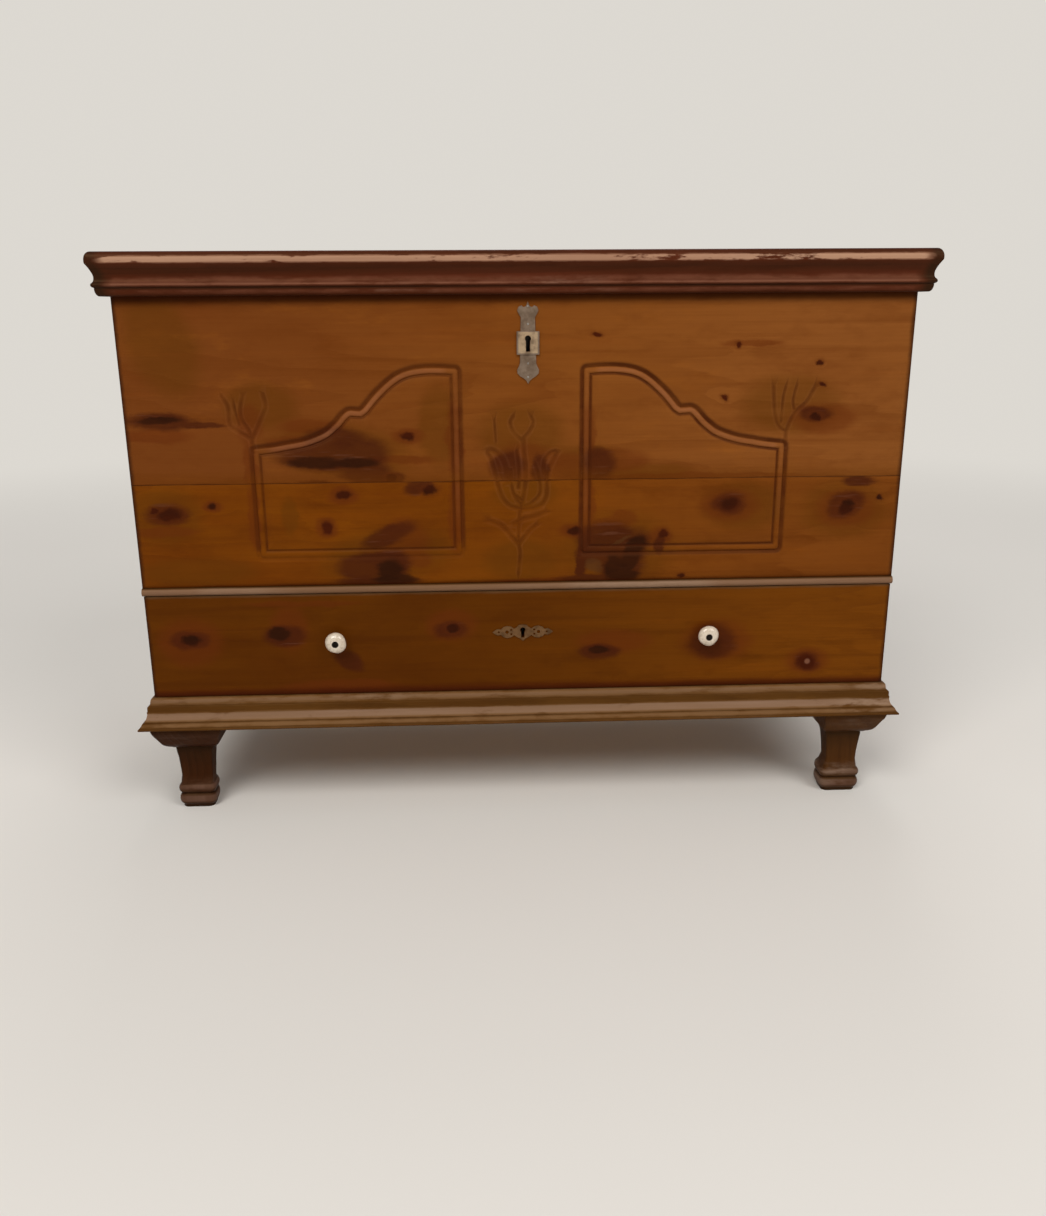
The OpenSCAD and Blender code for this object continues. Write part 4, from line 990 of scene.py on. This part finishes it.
SKIRT_TABLE = [(780, 0.0, 0.5), (783, 0.45, 0.1), (787, 0.65, 0.0), (789.6, 0.15, 0.5), (791, 0.0, 0.8),
               (793, 0.6, 0.1), (795, 0.95, 0.0), (798, 0.75, 0.1), (803, 0.6, 0.0), (807, 0.25, 0.1),
               (811, 0.05, 0.3), (816, 0.0, 0.5)]
WAIST_TABLE = [(354, 0.6, 0.15), (355, 0.85, 0.05), (357, 0.95, 0.0), (363.5, 1.1, 0.0), (365.2, 0.7, 0.2),
               (366, 0.2, 0.7)]

for side, end in ((0, "front"), (-1, "left"), (1, "right")):
    moulding("base_moulding_%s_run" % end, "base_moulding_%s" % end, BASE_OUTLINE, BASE_TABLE,
             pine_base_side if side else pine_base, "case", "base_wood", side)
    moulding("lid_moulding_%s_run" % end, "lid_moulding_%s" % end, SKIRT_OUTLINE, SKIRT_TABLE,
             pine_skirt_side if side else pine_skirt, "lid", "lid_wood", side, end_dark=0.95)


def waist_run():
    """Worn half-round bead between the box and the drawer."""
    lo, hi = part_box("waist_moulding")
    inner = Y_FRONT - Y_INSIDE
    bead = arc(0, (lo.z + hi.z) / 2, Y_FRONT - lo.y, (hi.z - lo.z) / 2, -90, 90, 14)
    outline = [tuple(p) for p in spaced(bead + [(inner, hi.z), (inner, lo.z)], 2.4 * MM, closed=True)]
    wear_and_shading = [wear_and_shading_at(WAIST_TABLE, height) for _, height in outline]
    skin = Skin("wear_and_highlight", "grime_and_shade")
    rows = []
    for t in along_steps(2 * HALF_W, 7 * MM):
        row = []
        for (out, height), (wear_and_highlight, grime_and_shade) in zip(outline, wear_and_shading):
            x = (2 * t - 1) * HALF_W
            dent = min(0.0, wobble((x, 0, height), 1.0, 30) + 0.2) * 0.8 * MM * (out > 0)
            row.append(skin.point((x, Y_FRONT - out - dent * 0.9, height), wear_and_highlight if out > 0 else 0, grime_and_shade))
        rows.append(row)
    skin.bridge(rows)
    skin.caps(rows[0], rows[-1])
    skin.piece("waist_moulding_run", pine_waist, "case", "base_wood", ["waist_moulding"])


waist_run()


# Lid boards with their rounded nose

NOSE = ([(LID_REACH - back * MM, Z_TOP + up * MM)
         for back, up in ((4.4, 0), (2.6, 3), (0.9, 5.6), (0.2, 7), (0, 8.4))]
        + arc(LID_REACH - 8 * MM, Z_TOP + 10 * MM, 8 * MM, Z_LID - Z_TOP - 10 * MM, 6, 90, 14)
        + [(reach * MM, Z_LID) for reach in (6, -8, -30)])
# Wear with painted highlight along the nose, grime with painted shade under it and at its top edge
NOSE_TABLE = [(816, 0.0, 0.5), (820, 0.0, 0.35), (822.2, 0.2, 0.2), (823.6, 1.0, 0.0), (830, 1.15, 0.0),
              (832.2, 0.45, 0.15), (833.6, 0.1, 0.35), (836.5, 0.15, 0.3), (838, 0.22, 0.2)]
# How much darker the nose is painted towards the front corners
NOSE_CORNER_DARK = 0.8


def lid_row(skin, side, t, y0, y1, front):
    """The points of the nose at part t of a run, from y0 to y1 where it is a side one."""
    row = []
    for reach, height in NOSE:
        wear_and_highlight, grime_and_shade = wear_and_shading_at(NOSE_TABLE, height)
        base = y0 - (reach if front else 0)
        x, y = on_run(side, t, reach, base, y1 - base)
        corner = abs(y - Y_FRONT + reach) if side else HALF_W + reach - abs(x)
        corner_dark = NOSE_CORNER_DARK * corner_dark_at(corner) if front else 0.0
        if reach > 0 and height < Z_LID - 0.05 * MM:
            x, y = battered(side, x, y, height, wear_and_highlight, NOSE_MARKS)
        left = 0.0 if side and y > Y_BACK - 0.1 * MM else wear_and_highlight * (1 - corner_dark)
        row.append(skin.point((x, y, height), left, max(grime_and_shade, corner_dark)))
    return row


def lid_board(name, node, y0, y1, front):
    """A board of the lid: its rounded edge runs along the sides, and along the front of the front board."""
    skin = Skin("wear_and_highlight", "grime_and_shade")
    steps = along_steps(y1 - y0)
    left, right = [(-1, 1 - t) for t in steps], [(1, t) for t in steps]
    runs = [left, right]
    if front:
        runs = [left + [(0, t) for t in along_steps(2 * HALF_W)[1:]] + right[1:]]
    grids = []
    for run in runs:
        grids.append([lid_row(skin, side, t, y0, y1, front) for side, t in run])
        skin.bridge(grids[-1], closed=False)
    rows = sum(grids, [])
    skin.caps([row[-1] for row in rows], [row[0] for row in rows])
    for before, grid in zip(grids[-1:] + grids[:-1], grids):
        skin.bm.faces.new(grid[0] + before[-1][::-1])
    skin.piece(name, pine_lid, "lid", "lid_wood", [node])


lid_board("lid_board_front_nosed", "lid_board_front", Y_FRONT, LID_JOINT_Y, True)
lid_board("lid_board_rear_nosed", "lid_board_rear", LID_JOINT_Y, Y_BACK, False)


# Feet: square in plan, with a flared cap, a waisted column and two rings

FOOT_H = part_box("foot_front_left")[1].z
FOOT_W = 60 * MM
FOOT_INSET = 20 * MM
CAP_H = 42 * MM
CAP_STEP = 2 * MM
# How far the cap flares on the outer sides, and on the inner sides of a left or right foot
FLARE_OUT = 30 * MM
FLARE_IN = {-1: 17 * MM, 1: 11 * MM}
# The flare from the top down, as (part of its reach, drop)
FLARE = ((1, 1), (1, 7), (0.95, 12), (0.86, 17.5), (0.76, 23), (0.67, 28.5), (0.61, 32), (0.53, 35),
         (0.42, 37.6), (0.28, 39.8), (0.14, 41.4))
NECK_IN = 4 * MM
NECK_FOOT = 54 * MM
RING_OUT = 2 * MM
RING_Z = 24 * MM
RING_TOP = 40 * MM
PAD_H = 5 * MM
CORNER_STEPS = 6
OUTWARD = 2.2 * MM
# How much narrower a left or right foot is on its inner sides, by height: the photo shows them unlike
SLIM = {-1: ((0, 8), (40, 8), (55, 5), (95, 5), (112, 1)), 1: ((0, 3), (40, 3), (55, 5), (95, 5), (112, 2))}
# Corner radius at each height, and of the hidden inner corner
CORNERS = [(0, 9, 30), (20, 9, 30), (42, 7, 30), (60, 4, 26), (100, 4, 22), (106, 5, 12), (147, 3, 8)]
# Wear with painted highlight on the rings and the cap, grime with painted shade under the cap and at the sole
FOOT_TABLE = [(0, 0.1, 0.9), (4, 0.2, 0.8), (7, 0.6, 0.2), (12, 1.0, 0.0), (17, 1.25, 0.0), (21, 0.8, 0.1),
              (24, 0.2, 0.8), (27, 0.5, 0.3), (32, 0.85, 0.0), (37, 1.1, 0.0), (41, 0.6, 0.1), (48, 0.3, 0.1),
              (70, 0.15, 0.2), (90, 0.0, 0.45), (104, 0.0, 0.7), (108, 0.2, 0.3), (114, 0.35, 0.0),
              (134, 0.5, 0.0), (142, 0.4, 0.1), (147, 0.1, 0.6)]


def foot_ring(low, high):
    centre = NECK_IN - 1 * MM
    return arc(centre, (low + high) / 2, centre + RING_OUT, (high - low) / 2, 108, 252, 12)


def foot_side(flare):
    """(inset, height) from the top of a foot down to its sole."""
    neck_top = FOOT_H - CAP_H - CAP_STEP
    return ([(-flare + 0.8 * MM, FOOT_H)] + [(-part * flare, FOOT_H - drop * MM) for part, drop in FLARE]
            + [(-0.4 * MM, FOOT_H - CAP_H + 0.2 * MM), (0, FOOT_H - CAP_H)]
            + [(NECK_IN * math.sin(math.radians(90 * t / 10)), neck_top - (neck_top - NECK_FOOT) * t / 10)
               for t in range(11)]
            + foot_ring(RING_Z, RING_TOP) + foot_ring(PAD_H, RING_Z)
            + [(RING_OUT, PAD_H - 1 * MM), (RING_OUT, 1 * MM), (RING_OUT + 0.6 * MM, 0)])


def foot_outline(near, far, radius, hidden):
    """Plan of a foot as insets from the side and the end of the case, with rounded corners."""
    out = []
    for cx, cy, start in ((near, near, 180), (far, near, 270), (far, far, 0), (near, far, 90)):
        r = hidden if cx == cy == far else radius
        out += arc(cx + (r if cx == near else -r), cy + (r if cy == near else -r), r, r, start, start + 90,
                   CORNER_STEPS)
    return out


def foot(name, node, side, rear):
    skin = Skin("wear_and_highlight", "grime_and_shade")
    heights, radii, hidden = (np.array(c) * MM for c in zip(*CORNERS))
    middle_y = Y_BACK - FOOT_INSET - FOOT_W / 2 if rear else Y_FRONT + FOOT_INSET + FOOT_W / 2
    rows = []
    for (a, z), (b, _) in zip(foot_side(FLARE_OUT), foot_side(FLARE_IN[side])):
        slim = float(np.interp(z / MM, *zip(*SLIM[side]))) * MM
        near = FOOT_INSET + a - OUTWARD * (z < FOOT_H - CAP_H + 1 * MM)
        rounds = (float(np.interp(z, heights, r)) for r in (radii, hidden))
        middle = Vector((side * (HALF_W - FOOT_INSET - FOOT_W / 2), middle_y, z))
        row = []
        for px, py in foot_outline(near, FOOT_INSET + FOOT_W - b - slim, *rounds):
            place = Vector((side * (HALF_W - px), min(Y_BACK - py, Y_BACK) if rear else Y_FRONT + py, z))
            if 0 < z < FOOT_H - 1 * MM:
                chip = min(0, wobble(place, 1.8 * MM, 80) + 0.5 * MM)
                pull = 0.2 * MM + wobble(place, 0.45 * MM, 45) - chip
                place += (middle - place).normalized() * max(0.0, pull)
            row.append(skin.point(place, *wear_and_shading_at(FOOT_TABLE, z)))
        rows.append(row)
    skin.bridge(rows)
    skin.caps(rows[0], rows[-1])
    skin.piece(name, pine_foot, "case", "base_wood", [node])


for side, end in ((-1, "left"), (1, "right")):
    foot("foot_front_%s_shaped" % end, "foot_front_%s" % end, side, False)
    foot("foot_rear_%s_shaped" % end, "foot_rear_%s" % end, side, True)


# Porcelain knobs, turned and a little uneven

knob_lo, knob_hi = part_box("knob_left")
KNOB_R = (knob_hi.x - knob_lo.x) / 2 / MM
KNOB_TIP = (knob_hi.y - knob_lo.y) / MM
KNOB_STEPS = 56
# (radius, distance from the drawer) in millimetres
KNOB_PROFILE = ([(2.4, 0), (9, 0), (9, 2)] + arc(9, 6, 2.5, 4, 266, 184, 8)
                + arc(6.5, KNOB_TIP - 8, KNOB_R - 6.5, 7, -75, 0, 14)
                + arc(6, KNOB_TIP - 8, KNOB_R - 6, 8, 8, 90, 14)
                + [(4.6, KNOB_TIP), (3.9, KNOB_TIP - 0.5), (3.3, KNOB_TIP - 1.6), (2.4, KNOB_TIP - 4)])


def knob(name, node, turn):
    lo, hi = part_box(node)
    cx, cz = (lo.x + hi.x) / 2, (lo.z + hi.z) / 2
    skin = Skin("grime_and_shade")
    rows = []
    for r, out in KNOB_PROFILE:
        row = []
        for a in (2 * math.pi * i / KNOB_STEPS for i in range(KNOB_STEPS)):
            uneven = noise.noise(Vector((math.cos(a), math.sin(a), out / 9 + turn)) * 0.8)
            lump = 1 - max(0.0, 0.045 + uneven * 0.09) * (r > 9)
            place = (cx + r * lump * MM * math.cos(a), Y_FRONT - out * MM, cz + r * lump * MM * math.sin(a))
            # Dirt and painted shade round the bolt hole, which widen its dark
            row.append(skin.point(place, 1.0 if out > 10 and r < 4.8 else 0.0))
        rows.append(row)
    skin.bridge(rows + rows[:1])
    skin.piece(name, porcelain, "drawer", "porcelain", [node], sharp=math.radians(60))


knob("knob_left_turned", "knob_left", 0.3)
knob("knob_right_turned", "knob_right", 5.1)


# Small fasteners

HEAD_STEPS = 20


def dome_head(centre, axis, across, radius, dome):
    """A domed head that stands a little in the surface."""
    head = Skin()
    other = axis.cross(across)
    rings = [(radius, -0.3 * dome)]
    rings += [(radius * math.cos(t), dome * math.sin(t)) for t in (math.radians(10 * k) for k in range(8))]
    rows = [[head.point(centre + axis * height + r * (across * math.cos(a) + other * math.sin(a)))
             for a in (2 * math.pi * i / HEAD_STEPS for i in range(HEAD_STEPS))] for r, height in rings]
    head.bridge(rows)
    head.caps(rows[-1], rows[0])
    return head.bm


def cut_slot(head, centre, axis, other, radius, dome):
    for sign in (-1, 1):
        bmesh.ops.bisect_plane(head, geom=head.verts[:] + head.edges[:] + head.faces[:],
                               plane_co=centre + other * sign * radius * 0.13, plane_no=other)
    for v in head.verts:
        offset = v.co - centre
        if abs(offset.dot(other)) < radius * 0.12 and offset.dot(axis) > 0:
            v.co -= axis * (offset.dot(axis) + 0.1 * dome)


def fasteners(name, body, slot, material, centres, axis, radius, dome, slotted=True):
    """Domed pin heads, or slotted screw heads, as one mesh."""
    rnd = random.Random(len(name))
    skin = Skin()
    axis = Vector(axis)
    base = Vector((0, 0, 1)) if abs(axis.z) < 0.9 else Vector((1, 0, 0))
    for centre in centres:
        across = Matrix.Rotation(rnd.uniform(0, math.pi), 3, axis) @ base
        head = dome_head(Vector(centre), axis, across, radius * MM, dome * MM)
        if slotted:
            cut_slot(head, Vector(centre), axis, axis.cross(across), radius * MM, dome * MM)
        mesh = bpy.data.meshes.new("part")
        head.to_mesh(mesh)
        head.free()
        skin.bm.from_mesh(mesh)
        bpy.data.meshes.remove(mesh)
    skin.piece(name, material, body, slot)


PLATE_Y = Y_FRONT - 1.6 * MM
OUT_FRONT, OUT_BACK, DOWN = (0, -1, 0), (0, 1, 0), (0, 0, -1)
case_lo, case_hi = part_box("chest_lock_case")
catch_lo, catch_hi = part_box("lock_catch_plate")
drawer_lock_lo, drawer_lock_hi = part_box("drawer_lock_case")

fasteners("chest_escutcheon_pins", "case", "pewter", steel,
          [(PLATE_X, PLATE_Y, KEY_Z + up * MM) for up in (44, 20, -34, -53)], OUT_FRONT, 1.5, 0.7, False)
fasteners("chest_lock_screws", "case", "iron", iron,
          [(x, case_hi.y, z) for x in (case_lo.x + 7 * MM, case_hi.x - 7 * MM)
           for z in (case_lo.z + 7 * MM, case_hi.z - 24 * MM)], OUT_BACK, 3.2, 0.9)
fasteners("catch_plate_screws", "lid", "iron", iron,
          [(x, catch_hi.y - 6 * MM, Z_TOP - 2 * MM)
           for x in (catch_lo.x + 7 * MM, PLATE_X, catch_hi.x - 7 * MM)], DOWN, 2.8, 0.8)
fasteners("drawer_lock_screws", "drawer", "iron", iron,
          [(side * 28 * MM, drawer_lock_hi.y, z) for side in (-1, 1)
           for z in (drawer_lock_lo.z + 6 * MM, drawer_lock_hi.z - 8 * MM)], OUT_BACK, 2.8, 0.8)
fasteners("back_nails", "case", "iron", iron,
          [(side * (HALF_W - 15 * MM), Y_BACK, z * MM) for side in (-1, 1)
           for z in (162, 235, 305, 356, 384, 450, 520, 580, 607, 675, 740, 800)], OUT_BACK, 2.2, 0.6, False)
fasteners("drawer_escutcheon_pins", "drawer", "bronze", bronze,
          [(side * 30.5 * MM, PLATE_Y, 288 * MM) for side in (-1, 1)], OUT_FRONT, 1.1, 0.6, False)


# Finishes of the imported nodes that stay, each with the width of its worn edges in millimetres

def paired(*parts):
    """The names of the left and right nodes of some parts."""
    return ["%s_%s" % (part, end) for part in parts for end in ("left", "right")]


FINISHES = (
    (pine_side, 0.9, paired("side_board_upper", "side_board_lower")),
    (pine_back, 0.9, ["back_board_lower", "back_board_middle", "back_board_upper"]),
    (pine_inner, 0.9, ["chest_floor", "floor_cleat_back", "waist_rail", "drawer_back", "drawer_bottom",
                       *paired("corner_block_front", "corner_block_rear")]),
    (pine_inner_side, 0.9, paired("floor_cleat", "drawer_runner", "lid_batten", "drawer_side")),
    (pine_base, 0.9, ["bottom_rail"]),
    (pine_drawer, 0.9, ["drawer_front"]),
    (black_iron, 0.9, ["knob_bolts"]),
    (iron, 0.6, ["chest_lock_case", "drawer_lock_case"]),
    (iron, 0, ["lock_catch_plate", *paired("case_hinge_leaf", "lid_hinge_leaf", "hinge_pin")]),
    (steel, 0, ["chest_lock_bolt", "drawer_lock_bolt"]),
    (pewter, 0.35, ["chest_escutcheon"]),
    (bronze, 0.3, ["drawer_escutcheon"]),
)


def wear_edges(node, width):
    weld = node.modifiers.new("weld", "WELD")
    weld.merge_threshold = 0.01 * MM
    bevel = node.modifiers.new("worn_edge", "BEVEL")
    bevel.width = width * MM
    bevel.segments = 2
    bevel.limit_method = "ANGLE"
    bevel.angle_limit = math.radians(35)
    bevel.use_clamp_overlap = True


for material, width, names in FINISHES:
    for node in (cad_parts[name] for name in names):
        node.data.materials.clear()
        node.data.materials.append(material)
        if width:
            wear_edges(node, width)


# Floor, light and camera

BACKDROP = (0.72, 0.69, 0.64)
DAYLIGHT = (1.0, 0.97, 0.93)
DAYLIGHT_STRENGTH = 0.32
LAMP_SIZE = 3.2
LAMP_AIM = Vector((0, 0, 0.5))
FLOOR_TONES = ((0.8, 0.785, 0.76), (0.83, 0.815, 0.79))
FLOOR_RADIUS = 30
# The camera was fitted to the photo: its place, its yaw, pitch and roll in degrees, and the size of the photo
CAMERA_PLACE = (-0.0644, -1.76805, 0.7615)
CAMERA_TURN = (2.45, 16.007, -0.376)
PHOTO_SIZE = (1046, 1216)
SENSOR = 36


def plain_floor():
    """A pale floor that melts into the backdrop."""
    f = Finish("floor_pale", 0.75, 0.2)
    f.give(f.shader.inputs["Base Color"], f.mix(f.noise(f.place, 1.2), *FLOOR_TONES))
    far = f.step(f.vector("LENGTH", f.place), 1.6, 4.5)
    ray = f.node("LightPath")
    seen = f.math("MAXIMUM", ray.outputs["Is Camera Ray"], ray.outputs["Is Glossy Ray"])
    glow = f.node("Emission", BACKDROP)
    blend = f.node("MixShader", f.times(far, seen), f.shader.outputs[0], glow.outputs[0])
    f.give(f.tree.nodes["Material Output"].inputs["Surface"], blend.outputs[0])
    bpy.ops.mesh.primitive_circle_add(vertices=96, radius=FLOOR_RADIUS, fill_type="NGON")
    floor = bpy.context.object
    floor.name = "floor"
    floor.data.materials.append(f.material)


def studio():
    """Soft light from all round, and a plain backdrop for the camera."""
    world = bpy.data.worlds.new("studio")
    bpy.context.scene.world = world
    f = Nodes(world)
    light = f.tree.nodes["Background"]
    f.give(light.inputs["Color"], DAYLIGHT)
    f.give(light.inputs["Strength"], DAYLIGHT_STRENGTH)
    ray = f.node("LightPath")
    seen = f.math("MAXIMUM", ray.outputs["Is Camera Ray"], ray.outputs["Is Transmission Ray"])
    blend = f.node("MixShader", seen, light.outputs[0], f.node("Background", BACKDROP).outputs[0])
    f.give(f.tree.nodes["World Output"].inputs["Surface"], blend.outputs[0])


def lamp(name, place, watts, colour):
    data = bpy.data.lights.new(name, "AREA")
    data.shape = "DISK"
    data.size = LAMP_SIZE
    data.energy = watts
    data.color = colour
    light = bpy.data.objects.new(name, data)
    light.location = place
    light.rotation_euler = (LAMP_AIM - Vector(place)).to_track_quat("-Z", "Y").to_euler()
    bpy.context.scene.collection.objects.link(light)


def camera():
    yaw, pitch, roll = (math.radians(a) for a in CAMERA_TURN)
    forward = Vector((math.sin(yaw) * math.cos(pitch), math.cos(yaw) * math.cos(pitch), -math.sin(pitch)))
    level = Vector((math.cos(yaw), -math.sin(yaw), 0))
    up = level.cross(forward)
    right = level * math.cos(roll) + up * math.sin(roll)
    top = -level * math.sin(roll) + up * math.cos(roll)
    data = bpy.data.cameras.new("photo_camera")
    data.sensor_width = SENSOR
    data.lens = SENSOR * PHOTO_SIZE[0] / PHOTO_SIZE[1]
    cam = bpy.data.objects.new("photo_camera", data)
    turn = Matrix((right, top, -forward)).transposed().to_4x4()
    cam.matrix_world = Matrix.Translation(CAMERA_PLACE) @ turn
    bpy.context.scene.collection.objects.link(cam)
    bpy.context.scene.camera = cam


studio()
lamp("key", (-2.0, -4.2, 4.6), 188, (1.0, 0.965, 0.91))
lamp("fill", (2.8, -3.6, 4.0), 112, DAYLIGHT)
lamp("back_light", (0.4, 4.0, 4.4), 70, (1.0, 0.97, 0.94))
plain_floor()
camera()
bpy.context.scene.view_settings.view_transform = "Standard"
